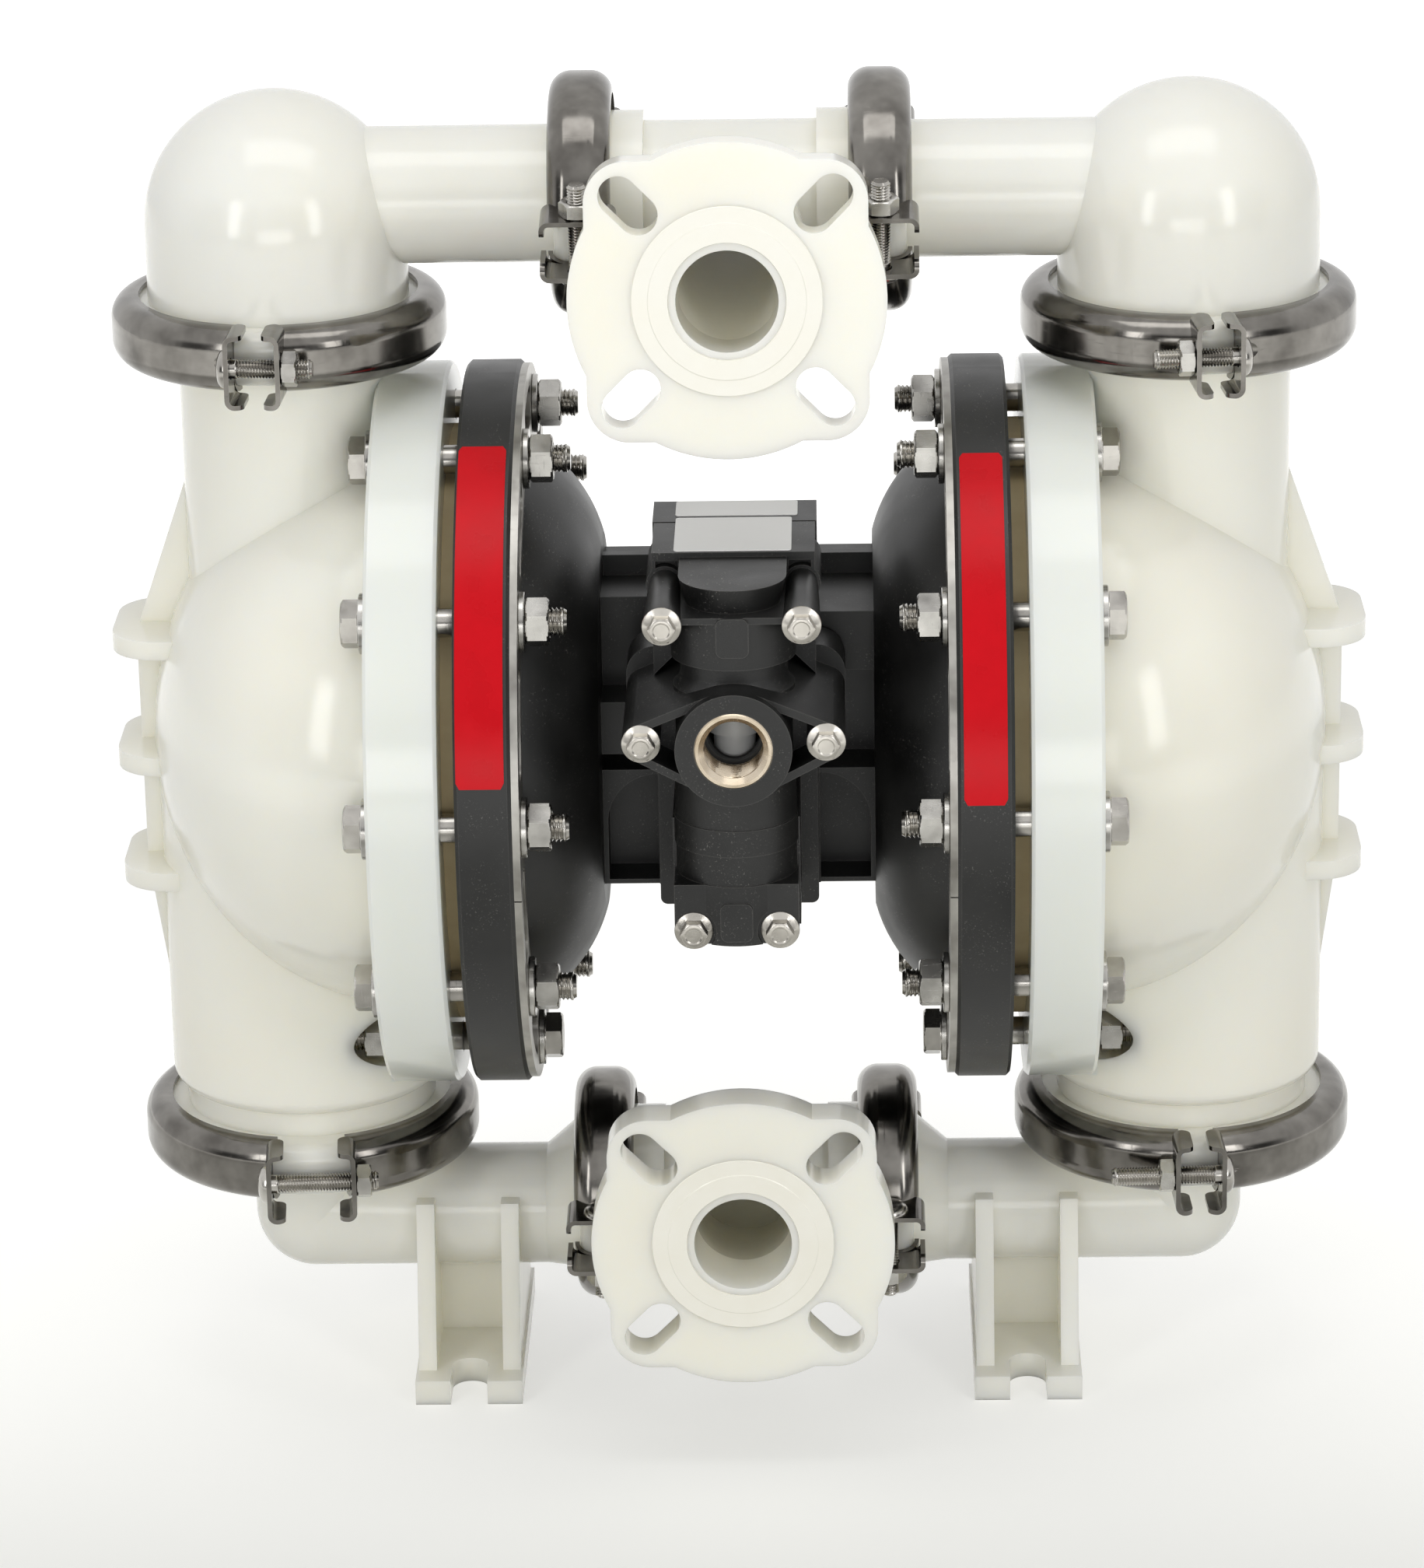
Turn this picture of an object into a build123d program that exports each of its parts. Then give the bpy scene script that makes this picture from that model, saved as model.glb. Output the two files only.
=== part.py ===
from build123d import *
import math
import os

# Air operated double diaphragm pump, clamped plastic build with flanged ports.
# Millimetres, +Z up. The origin is on the floor, midway between the two feet.
# The ports and the air valve face -Y. The diaphragm rod lies along X.
# Everything on the right, at +X, is built once and mirrored for the left.

os.makedirs("parts", exist_ok=True)

# Layout, from the floor up and from the middle out
suction_height = 79.2
lower_joint_rise = 34.3
lower_rim_clearance = 26.5
upper_rim_clearance = 24.0
discharge_rise = 53.0
column_stand = 40.2
manifold_joint_offset = 61.6
tee_clocking = 5.4

# Fits and clearances
face_gap = 0.3
static_fit = 0.1
running_fit = 0.05
ball_clearance = 0.3

# Chamber rims and their bolts
rim_radius = 154.0
rim_bolt_inset = 18.8
rim_bolt_count = 10
rim_bolt_size = 12.0
rim_bolt_clearance = 1.5
rim_bolt_flats = 18.0
rim_head_height = 7.5
rim_nut_height = 10.0
rim_washer_radius = 12.5
rim_washer_thickness = 2.5
rim_bolt_projection = 7.0
air_rim_plane = 113.2
fluid_rim_thickness = 29.7
air_rim_thickness = 23.2
backing_ring_thickness = 3.0
rim_edge_round = 1.5

# Diaphragms, plates and rod
diaphragm_bolt_gap = 8.2
main_diaphragm_thickness = 3.4
backup_diaphragm_thickness = 3.2
plate_radius = 70.0
convolution_outer_radius = 106.0
convolution_height = 12.0
inner_plate_thickness = 9.0
outer_plate_thickness = 15.0
rod_radius = 11.0
stroke = 20.0

# Fluid chamber
bowl_bolt_gap = 15.2
bowl_reach = 100.0
bowl_wall = 9.0
chamber_mouth_margin = 6.0
upper_column_radius = 43.0
upper_column_bore = 33.0
lower_column_radius = 59.5
lower_column_bore = 37.0
lower_neck_radius = 54.0
lower_neck_height = 21.5
lower_shoulder_round = 6.0
fin_count = 3
fin_pitch = 52.0
fin_drop = 9.0
fin_reach = 75.3
fin_half_width = 32.0
fin_thickness = 8.0
fin_corner = 20.0
web_thickness = 6.0
web_reach = 66.3
web_rise = 118.0
web_drop = 108.0

# Band joints
column_band_radius = 70.0
lower_band_growth = 2.5
column_band_width = 27.0
column_lip_depth = 11.7
manifold_band_radius = 50.4
manifold_band_width = 26.0
manifold_lip_depth = 9.4
band_sheet = 2.0
band_bend = 9.0
ear_height = 31.0
ear_depth = 20.0
ear_wing = 7.5
ear_sheet = 2.0
ear_bend = 4.0
clamp_hole_clearance = 0.5
clamp_bolt_radius = 4.0
clamp_bolt_standoff = 6.2
clamp_head_radius = 8.2
clamp_head_height = 4.0
clamp_nut_flats = 13.0
clamp_nut_height = 6.5

# Manifolds
dome_radius = 54.5
dome_centre_rise = 43.0
dome_wall = 7.0
discharge_pipe_radius = 28.5
discharge_pipe_bore = 22.0
suction_flare_radius = 39.0
suction_cone_height = 12.0
suction_pipe_radius = 26.5
suction_pipe_bore = 20.0
suction_pipe_drop = 9.8
tee_pipe_radius = 29.5
tee_collar_radius = 33.8
tee_collar_width = 13.0
port_reach = 126.6
port_offset = 25.2
port_bore_radius = 20.45
port_bore_length = 30.0
port_hub_radius = 37.6
flange_radius = 63.5
flange_square = 112.5
flange_corner = 17.0
flange_thickness = 17.0
flange_slot_width = 16.0
flange_slot_inner = 49.2
flange_slot_outer = 60.0

# Check valves
ball_radius = 25.4
ball_lift = 8.0
seat_radius = 46.0
seat_bore = 19.0
seat_depth_below = 4.0
seat_height_above = 8.0
seat_chamfer = 3.0
cage_rib_thickness = 5.0
cage_rib_bore = 26.5
cage_hook_bore = 12.0
cage_hook_height = 12.0
seal_width = 3.4
seal_height = 3.6

# Feet
foot_offset = 121.5
foot_width = 46.5
foot_half_depth = 60.0
foot_thickness = 11.0
foot_slot_width = 16.0
foot_slot_centre = 44.0
foot_rib_thickness = 7.8
foot_rib_half_depth = 50.0
foot_rib_top_half_depth = 31.0
foot_rib_height = 82.0
foot_web_thickness = 8.0

# Air chamber
air_end_plane = 57.3
air_end_thickness = 6.0
air_end_radius = 80.0
air_dome_bolt_gap = 14.2
air_wall = 6.0
# Point that the dome's bend passes through, from the edge of the end, outside and inside
air_dome_bend = (13.2, 25.5)
air_hollow_bend = (14.2, 24.0)
air_hollow_depth = 5.0

# Centre block, its heights taken from the rod's axis
block_front = 26.0
block_rear = 45.0
block_top = 63.0
block_bottom = -57.0
block_ridge_start = 4.0
block_ridge_height = 9.0
block_ridge_thickness = 5.0
pedestal_front = 50.0
pedestal_rear = 21.0
pedestal_half_width = 34.0
pedestal_top = 103.0
ledge_front = 49.0
right_ledge_bottom = 37.3
left_ledge_top = 24.0
left_ledge_bottom = 1.0
arch_frame_top = -6.0
arch_wall = 2.0
bushing_radius = 16.0
bushing_inner_end = 25.0
seal_ring_length = 5.0
pilot_drop = 34.0
pilot_radius = 4.0
pilot_sleeve_radius = 8.0
pilot_ratio = 0.3
muffler_height = 36.0
muffler_radius = 24.0
muffler_length = 62.0
muffler_stem_radius = 12.0
muffler_stem_length = 14.0

# Air valve, its heights taken from the rod's axis
gasket_thickness = 1.5
gasket_inset = 0.5
valve_plate_half_width = 33.3
valve_plate_thickness = 12.0
valve_plate_bottom = -61.0
valve_plate_corner = 3.0
valve_box_front = 93.0
valve_box_bottom = 50.7
valve_lid_thickness = 3.5
valve_bottom = -50.0
valve_block_half_width = 26.1
valve_block_top = -3.0
valve_shoulder_front = 75.0
valve_shoulder_half_width = 45.3
valve_shoulder_half_height = 19.0
valve_shoulder_corner = 12.0
spool_axis = 117.0
spool_housing_radius = 25.4
spool_housing_top = 90.6
spool_band_step = 0.6
spool_band_heights = (-0.3, -11.6, -24.3)
spool_neck_radius = 21.7
spool_neck_top = 68.4
spool_neck_flare = 7.0
spool_neck_bottom = 56.0
spool_cap_foot_radius = 19.3
spool_cap_height = 10.4
spool_cap_draft = 14.0
spool_bridge_thickness = 2.8
spool_bore_top = 76.0
spool_radius = 11.0
spool_waist_radius = 8.6
spool_sleeve_radius = 13.5
spool_middle_height = 11.0
spool_length = 86.0
spool_end_land = 18.4
spool_middle_land = 14.0
spool_plug_thickness = 10.0
valve_bolt_radius = 3.4
valve_bolt_depth = 22.0
valve_bolt_flange_radius = 8.0
valve_bolt_flange_height = 1.8
valve_bolt_flats = 10.0
valve_bolt_height = 7.0
valve_boss_radius = 7.8
valve_boss_neck_radius = 6.5
valve_spot_face_radius = 9.2
# Across, height and seat plane of each bolt of a pair, from the top pair down
valve_bolt_spots = [(28.0, 89.5, 148.0), (37.3, 40.0, 148.0), (17.6, -44.1, 139.0)]
valve_rib_thickness = 3.4
valve_rib_pocket_depth = 24.0
valve_pad_width = 13.2
valve_pad_height = 16.5
valve_pad_corner = 3.0
valve_pad_stand = 0.8
valve_pad_heights = (82.3, -39.6)
inlet_height = 38.2
inlet_hub_radius = 23.7
inlet_hub_front = 153.4
inlet_passage_radius = 11.0
insert_radius = 15.9
insert_bore = 12.1
insert_mouth_radius = 14.2
insert_mouth_depth = 3.0
insert_length = 20.0
insert_lip = 0.6

# Heights, planes and radii that follow from the sizes above
lower_joint_height = suction_height + lower_joint_rise
rod_height = lower_joint_height + lower_rim_clearance + rim_radius
upper_joint_height = rod_height + rim_radius + upper_rim_clearance
discharge_height = upper_joint_height + discharge_rise
dome_centre_height = upper_joint_height + dome_centre_rise
suction_pipe_height = suction_height - suction_pipe_drop
fin_middle_height = rod_height - fin_drop
rim_bolt_radius = rim_radius - rim_bolt_inset
diaphragm_radius = rim_bolt_radius - diaphragm_bolt_gap
bowl_base_radius = rim_bolt_radius - bowl_bolt_gap
air_dome_radius = rim_bolt_radius - air_dome_bolt_gap
fluid_rim_plane = air_rim_plane + main_diaphragm_thickness + backup_diaphragm_thickness
fluid_rim_back = fluid_rim_plane + fluid_rim_thickness
column_offset = fluid_rim_back + column_stand
air_rim_back = air_rim_plane - air_rim_thickness
backing_plane = air_rim_back - backing_ring_thickness
air_end_inner = air_end_plane + air_end_thickness
upper_ball_height = (upper_joint_height + seat_height_above - seat_chamfer
                     + math.sqrt((ball_radius + ball_clearance) ** 2 - seat_bore ** 2))
lower_ball_height = upper_ball_height - upper_joint_height + lower_joint_height
inner_plate_plane = air_rim_plane - inner_plate_thickness
pilot_half_length = inner_plate_plane - stroke + stroke * pilot_ratio - face_gap
valve_back = pedestal_front + gasket_thickness


def rod_x(start, end, y, z, radius):
    return Pos((start + end) / 2, y, z) * Rot(0, 90, 0) * Cylinder(radius, abs(end - start))


def rod_y(x, start, end, z, radius):
    return Pos(x, (start + end) / 2, z) * Rot(90, 0, 0) * Cylinder(radius, abs(end - start))


def rod_z(x, y, start, end, radius):
    return Pos(x, y, (start + end) / 2) * Cylinder(radius, abs(end - start))


def block(x0, x1, y0, y1, z0, z1):
    middle = Pos((x0 + x1) / 2, (y0 + y1) / 2, (z0 + z1) / 2)
    return middle * Box(abs(x1 - x0), abs(y1 - y0), abs(z1 - z0))


def turned_z(points):
    # points are (radius, height) round the Z axis
    return revolve(Plane.XZ * make_face(Polyline(*points, close=True)), Axis.Z)


def turned_x(points):
    # points are (position along X, radius) round the X axis
    return revolve(Plane.XZ * make_face(Polyline(*points, close=True)), Axis.X)


def domed_column(radius, start, centre):
    # upright cylinder that ends in a half sphere
    edges = [Line((0, start), (radius, start)), Line((radius, start), (radius, centre)),
             CenterArc((0, centre), radius, 0, 90), Line((0, centre + radius), (0, start))]
    return revolve(Plane.XZ * make_face(edges), Axis.Z)


def towards_front(outline, back, front):
    # outline is drawn in X and Z, and stands from Y -back to Y -front
    return Pos(0, -back, 0) * extrude(Plane.XZ * outline, front - back, dir=(0, -1, 0))


def at_rod(shape):
    return Pos(0, 0, rod_height) * shape


def left_of(shape):
    return mirror(shape, about=Plane.YZ)


def hexagon(flats, height):
    return extrude(RegularPolygon(flats / 2, 6, major_radius=False), height)


def write(name, shape):
    export_step(shape, f"parts/{name}.step")


def write_pair(name, shape):
    write(f"{name}_right", shape)
    write(f"{name}_left", left_of(shape))


def rim_spots():
    # angles are taken from the front, -Y, and step round the rim to the top
    return [(step * 360 / rim_bolt_count) for step in range(rim_bolt_count)]


def is_reversed(angle):
    # the bolt two places below the front is fitted from the air side
    return abs(angle - (360 - 2 * 360 / rim_bolt_count)) < 1


def at_rim_spot(angle, shape):
    # shape stands on the X axis and is carried out to its place on the bolt circle
    turn = math.radians(angle)
    y = -rim_bolt_radius * math.cos(turn)
    z = rod_height + rim_bolt_radius * math.sin(turn)
    return Pos(0, y, z) * shape


def rim_holes(start, end):
    radius = (rim_bolt_size + rim_bolt_clearance) / 2
    return [at_rim_spot(angle, rod_x(start, end, 0, 0, radius)) for angle in rim_spots()]


# Band joints: a lip on each pipe end, two half bands round the pair of lips

def band_half(radius, width, inset, start):
    # half section of the band above its middle plane, from the radius start outwards
    bend = band_bend - inset
    rim = radius - band_bend
    flat = width / 2 - band_bend
    top = flat + bend
    edges = [Line((start, 0), (rim + bend, 0)), Line((rim + bend, 0), (rim + bend, flat)),
             CenterArc((rim, flat), bend, 0, 90), Line((rim, top), (start, top)),
             Line((start, top), (start, 0))]
    return make_face(edges)


def band_section(radius, width, inset, start):
    half = band_half(radius, width, inset, start)
    return half + mirror(half, about=Plane.XZ)


def lip(radius, width, depth):
    # lip below its joint plane at Z 0, ready for the band of the same sizes
    edge = band_half(radius, width, band_sheet + face_gap, 0)
    return revolve(Plane.XZ * mirror(edge, about=Plane.XZ), Axis.Z)


def half_band(radius, width, depth, front_gap, rear_gap, bolt_end):
    sheet = band_section(radius, width, 0, radius - depth) - band_section(radius, width, band_sheet, 0)
    front = math.degrees(math.asin(front_gap / 2 / radius))
    rear = math.degrees(math.asin(rear_gap / 2 / radius))
    band = revolve(Rot(0, 0, front - 90) * (Plane.XZ * sheet), Axis.Z, 180 - front - rear)
    band += ear(radius, front_gap, -1) + ear(radius, rear_gap, 1)
    band -= revolve(Plane.XZ * band_section(radius, width, band_sheet, 0), Axis.Z)
    # flats pressed into the band under the bolt head and the nut
    for gap, side in ((front_gap, -1), (rear_gap, 1)):
        seat = gap / 2 + ear_sheet
        far = seat + clamp_nut_height + bolt_end
        y = side * (radius + clamp_bolt_standoff)
        band -= rod_x(seat, far, y, 0, clamp_head_radius + face_gap)
    return band


def ear(radius, gap, side):
    # channel with its two wings bent towards the gap; side -1 is the front joint
    outer = Pos(gap / 2 + ear_sheet - ear_wing / 2, 0) * Rectangle(ear_wing, ear_height)
    inner = Pos(gap / 2 - ear_wing / 2, 0) * Rectangle(ear_wing, ear_height - 2 * ear_sheet)
    outer = fillet(outer.vertices().group_by(Axis.X)[-1], ear_bend)
    inner = fillet(inner.vertices().group_by(Axis.X)[-1], ear_bend - ear_sheet)
    start = radius - ear_depth * 0.3
    plate = extrude(Plane.XZ * (outer - inner), ear_depth / 2, both=True)
    plate = Pos(0, side * (start + ear_depth / 2), 0) * plate
    wings = plate.edges().filter_by(Axis.Z).group_by(Axis.X)[0]
    plate = fillet(wings, ear_wing * 0.5)
    y = side * (radius + clamp_bolt_standoff)
    return plate - rod_x(0, gap, y, 0, clamp_bolt_radius + clamp_hole_clearance)


def clamp_hardware(radius, gap, side, head_side, bolt_end):
    # one carriage bolt with a domed head, and its nut
    y = side * (radius + clamp_bolt_standoff)
    face = gap / 2 + ear_sheet
    far = face + clamp_nut_height + bolt_end
    shank = rod_x(-face, far, 0, 0, clamp_bolt_radius)
    head = turned_z([(0, 0), (clamp_head_radius, 0), (clamp_head_radius * 0.8, clamp_head_height * 0.6),
                     (clamp_head_radius * 0.4, clamp_head_height), (0, clamp_head_height)])
    bolt = shank + Pos(-face, 0, 0) * Rot(0, -90, 0) * head
    nut = Pos(face, 0, 0) * Rot(0, 90, 0) * hexagon(clamp_nut_flats, clamp_nut_height)
    nut -= rod_x(face, face + clamp_nut_height, 0, 0, clamp_bolt_radius + static_fit)
    turn = Rot(0, 0, 0 if head_side < 0 else 180)
    return Pos(0, y, 0) * turn * bolt, Pos(0, y, 0) * turn * nut


column_band = (column_band_radius, column_band_width, column_lip_depth)
lower_band = (column_band_radius + lower_band_growth, column_band_width, column_lip_depth)
manifold_band = (manifold_band_radius, manifold_band_width, manifold_lip_depth)

discharge_turn = Rot(8.4, 0, 0) * Rot(0, 90, 0)
suction_turn = Rot(3.5, 0, 0) * Rot(0, 90, 0)

# Each clamp: place, band sizes, front gap, rear gap, side of the bolt head, bolt past its nut
clamps = {
    "clamp_upper_left": (Pos(-column_offset, 0, upper_joint_height) * Rot(0, 0, -3), column_band,
                         19.0, 19.0, -1, 6.0),
    "clamp_upper_right": (Pos(column_offset, 0, upper_joint_height) * Rot(0, 0, 6), column_band,
                          16.0, 22.0, 1, 10.0),
    "clamp_lower_left": (Pos(-column_offset, 0, lower_joint_height) * Rot(0, 0, 4), lower_band,
                         34.0, 18.0, -1, 3.0),
    "clamp_lower_right": (Pos(column_offset, 0, lower_joint_height) * Rot(0, 0, 2.7), lower_band,
                          17.6, 34.0, 1, 20.0),
    "clamp_discharge_left": (Pos(-manifold_joint_offset, 0, discharge_height) * discharge_turn,
                             manifold_band, 22.5, 20.0, 1, 7.0),
    "clamp_discharge_right": (Pos(manifold_joint_offset, 0, discharge_height) * discharge_turn,
                              manifold_band, 22.5, 20.0, 1, 7.0),
    "clamp_suction_left": (Pos(-manifold_joint_offset, 0, suction_height) * suction_turn,
                           manifold_band, 22.5, 20.0, -1, 7.0),
    "clamp_suction_right": (Pos(manifold_joint_offset, 0, suction_height) * suction_turn,
                            manifold_band, 22.5, 20.0, -1, 7.0),
}


def make_clamps():
    bolts = []
    nuts = []
    for name, (place, band, front_gap, rear_gap, head_side, bolt_end) in clamps.items():
        half = half_band(*band, front_gap, rear_gap, bolt_end)
        write(name, Compound(children=[place * half, place * left_of(half)]))
        for gap, side in ((front_gap, -1), (rear_gap, 1)):
            bolt, nut = clamp_hardware(band[0], gap, side, head_side, bolt_end)
            bolts.append(place * bolt)
            nuts.append(place * nut)
    write("clamp_bolts", Compound(children=bolts))
    write("clamp_nuts", Compound(children=nuts))


# Check valves

def cage(bore, joint, ball_height):
    # four ribs that guide the ball, with hooks that stop it above its lift
    stop = ball_height + ball_radius + ball_lift + ball_clearance
    floor = joint + seat_height_above + face_gap
    points = [(cage_rib_bore, floor), (bore, floor), (bore, stop + cage_hook_height),
              (cage_hook_bore, stop + cage_hook_height), (cage_hook_bore, stop), (cage_rib_bore, stop)]
    rib = extrude(Plane.XZ * make_face(Polyline(*points, close=True)), cage_rib_thickness / 2, both=True)
    return [Rot(0, 0, 45 + 90 * quarter) * rib for quarter in range(4)]


def make_valves():
    ring = turned_z([(seat_bore, -seat_depth_below), (seat_radius, -seat_depth_below),
                     (seat_radius, seat_height_above), (seat_bore + seat_chamfer, seat_height_above),
                     (seat_bore, seat_height_above - seat_chamfer)])
    for name, joint, ball_height in (("discharge", upper_joint_height, upper_ball_height),
                                     ("suction", lower_joint_height, lower_ball_height)):
        write_pair(f"{name}_seat", Pos(column_offset, 0, joint) * ring)
        write_pair(f"{name}_ball", Pos(column_offset, 0, ball_height) * Sphere(ball_radius))


def seal_ring(radius, extra):
    inner = radius - extra
    outer = radius + seal_width + extra
    half = seal_height / 2 + extra
    return turned_z([(inner, -half), (outer, -half), (outer, half), (inner, half)])


column_seal_radius = seat_radius + 3.0
manifold_seal_radius = discharge_pipe_radius + 1.0


def make_seals():
    column = seal_ring(column_seal_radius, 0)
    manifold = Rot(0, 90, 0) * seal_ring(manifold_seal_radius, 0)
    rings = [Pos(side * column_offset, 0, height) * column
             for side in (-1, 1) for height in (upper_joint_height, lower_joint_height)]
    write("column_seals", Compound(children=rings))
    rings = [Pos(side * manifold_joint_offset, 0, height) * manifold
             for side in (-1, 1) for height in (discharge_height, suction_height)]
    write("manifold_seals", Compound(children=rings))


# Manifolds

def discharge_elbow():
    foot = Pos(column_offset, 0, upper_joint_height)
    place = Pos(column_offset, 0, 0)
    dome = place * domed_column(dome_radius, upper_joint_height, dome_centre_height)
    dome += rod_x(manifold_joint_offset, column_offset, 0, discharge_height, discharge_pipe_radius)
    dome += foot * Rot(180, 0, 0) * lip(*column_band)
    joint = Pos(manifold_joint_offset, 0, discharge_height)
    dome += joint * Rot(0, -90, 0) * lip(*manifold_band)
    bore = dome_radius - dome_wall
    hollow = place * domed_column(bore, upper_joint_height + seat_height_above, dome_centre_height)
    ribs = foot.inverse() * hollow
    ribs = [foot * (rib & ribs) for rib in cage(bore, 0, upper_ball_height - upper_joint_height)]
    dome -= hollow
    for rib in ribs:
        dome += rib
    bore_end = column_offset - bore * 0.8
    dome -= rod_x(manifold_joint_offset, bore_end, 0, discharge_height, discharge_pipe_bore)
    dome -= foot * rod_z(0, 0, 0, seat_height_above + face_gap, seat_radius + static_fit)
    dome -= foot * seal_ring(column_seal_radius, static_fit)
    dome -= joint * Rot(0, 90, 0) * seal_ring(manifold_seal_radius, static_fit)
    return dome


def foot():
    edge = foot_width / 2
    outer = edge - 1.0
    base = block(foot_offset - edge, foot_offset + edge, -foot_half_depth, foot_half_depth, 0,
                 foot_thickness)
    outline = [(-foot_rib_half_depth, foot_thickness / 2), (foot_rib_half_depth, foot_thickness / 2),
               (foot_rib_top_half_depth, foot_rib_height), (-foot_rib_top_half_depth, foot_rib_height)]
    rib = extrude(Plane.YZ * make_face(Polyline(*outline, close=True)), foot_rib_thickness)
    base += Pos(foot_offset + outer - foot_rib_thickness, 0, 0) * rib
    base += Pos(foot_offset - outer, 0, 0) * rib
    base += block(foot_offset - outer + 1.0, foot_offset + outer - 1.0, -foot_web_thickness / 2,
                  foot_web_thickness / 2, foot_thickness / 2, suction_pipe_height)
    for side in (-1, 1):
        base -= rod_z(foot_offset, side * foot_slot_centre, 0, foot_thickness, foot_slot_width / 2)
        base -= block(foot_offset - foot_slot_width / 2, foot_offset + foot_slot_width / 2,
                      side * foot_slot_centre, side * (foot_half_depth + 1.0), 0, foot_thickness)
    return base


def flared(radius, end_radius, start):
    # pipe end that widens from the pipe's axis height to the joint's axis height
    small = Plane((start, 0, suction_pipe_height), x_dir=(0, 1, 0), z_dir=(-1, 0, 0))
    large = Plane((manifold_joint_offset, 0, suction_height), x_dir=(0, 1, 0), z_dir=(-1, 0, 0))
    return loft([small * Circle(radius), large * Circle(end_radius)])


def suction_elbow():
    top = Pos(column_offset, 0, lower_joint_height)
    corner = Pos(column_offset, 0, suction_pipe_height)
    joint = Pos(manifold_joint_offset, 0, suction_height)
    flare_start = manifold_joint_offset + manifold_band_width
    body = rod_z(column_offset, 0, suction_pipe_height, lower_joint_height, suction_pipe_radius)
    body += corner * Sphere(suction_pipe_radius)
    body += rod_x(flare_start, column_offset, 0, suction_pipe_height, suction_pipe_radius)
    body += flared(suction_pipe_radius, suction_flare_radius, flare_start)
    body += top * lip(*lower_band)
    cone_top = lower_band[1] / 2 - band_sheet - face_gap
    cone = Cone(suction_pipe_radius, lower_neck_radius, suction_cone_height,
                align=(Align.CENTER, Align.CENTER, Align.MAX))
    body += top * Pos(0, 0, -cone_top) * cone
    body += joint * Rot(0, -90, 0) * lip(*manifold_band)
    body += foot()
    body -= rod_z(column_offset, 0, suction_pipe_height, lower_joint_height, suction_pipe_bore)
    body -= corner * Sphere(suction_pipe_bore)
    body -= rod_x(flare_start, column_offset, 0, suction_pipe_height, suction_pipe_bore)
    body -= flared(suction_pipe_bore, discharge_pipe_bore, flare_start)
    body -= top * rod_z(0, 0, -seat_depth_below - face_gap, 0, seat_radius + static_fit)
    body -= top * seal_ring(column_seal_radius, static_fit)
    body -= joint * Rot(0, 90, 0) * seal_ring(manifold_seal_radius, static_fit)
    return body


def port_flange():
    # plate in the local XY plane, its face at Z 0, four radial slots at 45 degrees
    plate = Circle(flange_radius) + RectangleRounded(flange_square, flange_square, flange_corner)
    slot_length = flange_slot_outer - flange_slot_inner
    slot = SlotCenterToCenter(slot_length, flange_slot_width)
    slot = Pos((flange_slot_outer + flange_slot_inner) / 2, 0) * slot
    for quarter in range(4):
        plate -= Rot(0, 0, 45 + 90 * quarter) * slot
    return extrude(plate, -flange_thickness)


def tee():
    # run along X, port facing -Y and dropped by the port offset
    run = rod_x(-manifold_joint_offset, manifold_joint_offset, 0, 0, tee_pipe_radius)
    collar_end = manifold_joint_offset - manifold_band_width / 2
    for side in (-1, 1):
        end = side * manifold_joint_offset
        run += rod_x(end, side * (collar_end - tee_collar_width), 0, 0, tee_collar_radius)
        run += Pos(end, 0, 0) * Rot(0, side * 90, 0) * lip(*manifold_band)

    def across(y, z):
        return Plane((0, y, z), x_dir=(1, 0, 0), z_dir=(0, -1, 0))
    face = across(-port_reach, -port_offset)
    back = across(-port_reach + flange_thickness, -port_offset)
    throat = across(-port_reach + port_bore_length, -port_offset)
    middle = across(-tee_pipe_radius / 2, 0)
    neck = loft([middle * Circle(tee_pipe_radius * 0.85), back * Circle(port_hub_radius)])
    body = run + neck + face * port_flange()
    body -= rod_x(-manifold_joint_offset, manifold_joint_offset, 0, 0, discharge_pipe_bore)
    body -= loft([across(0, 0) * Circle(port_bore_radius), throat * Circle(port_bore_radius)])
    body -= face * extrude(Circle(port_bore_radius), -port_bore_length)
    groove = Rot(0, 90, 0) * seal_ring(manifold_seal_radius, static_fit)
    for side in (-1, 1):
        body -= Pos(side * manifold_joint_offset, 0, 0) * groove
    return body


def make_manifolds():
    casting = tee()
    write("discharge_tee", Pos(0, 0, discharge_height) * Rot(-tee_clocking, 0, 0) * casting)
    write("suction_tee", Pos(0, 0, suction_height) * mirror(casting, about=Plane.XY))
    write_pair("discharge_elbow", discharge_elbow())
    write_pair("suction_elbow", suction_elbow())


# Fluid chamber

def quarter_bowl(start, reach, radius):
    arc = EllipticalCenterArc((start, 0), reach, radius, start_angle=0, arc_size=90)
    edges = [Line((start, 0), (start + reach, 0)), arc, Line((start, radius), (start, 0))]
    return revolve(Plane.XZ * make_face(edges), Axis.X)


def lower_column(start, top):
    # wide column with a rounded shoulder at its lower end
    inner = lower_column_radius - lower_shoulder_round
    spring = start + lower_shoulder_round
    edges = [Line((0, start), (inner, start)), CenterArc((inner, spring), lower_shoulder_round, -90, 90),
             Polyline((lower_column_radius, spring), (lower_column_radius, top), (0, top), (0, start))]
    return revolve(Plane.XZ * make_face(edges), Axis.Z)


def rim_pockets():
    # spot faces for the washers and heads; the reversed bolts need room for nut and thread end
    shapes = []
    for angle in rim_spots():
        depth = rim_washer_thickness + rim_head_height + face_gap
        if is_reversed(angle):
            depth = rim_washer_thickness + rim_nut_height + rim_bolt_projection + face_gap
        pocket = rod_x(fluid_rim_back, fluid_rim_back + depth, 0, 0, rim_washer_radius + face_gap)
        shapes.append(at_rim_spot(angle, pocket))
    return shapes


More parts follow.
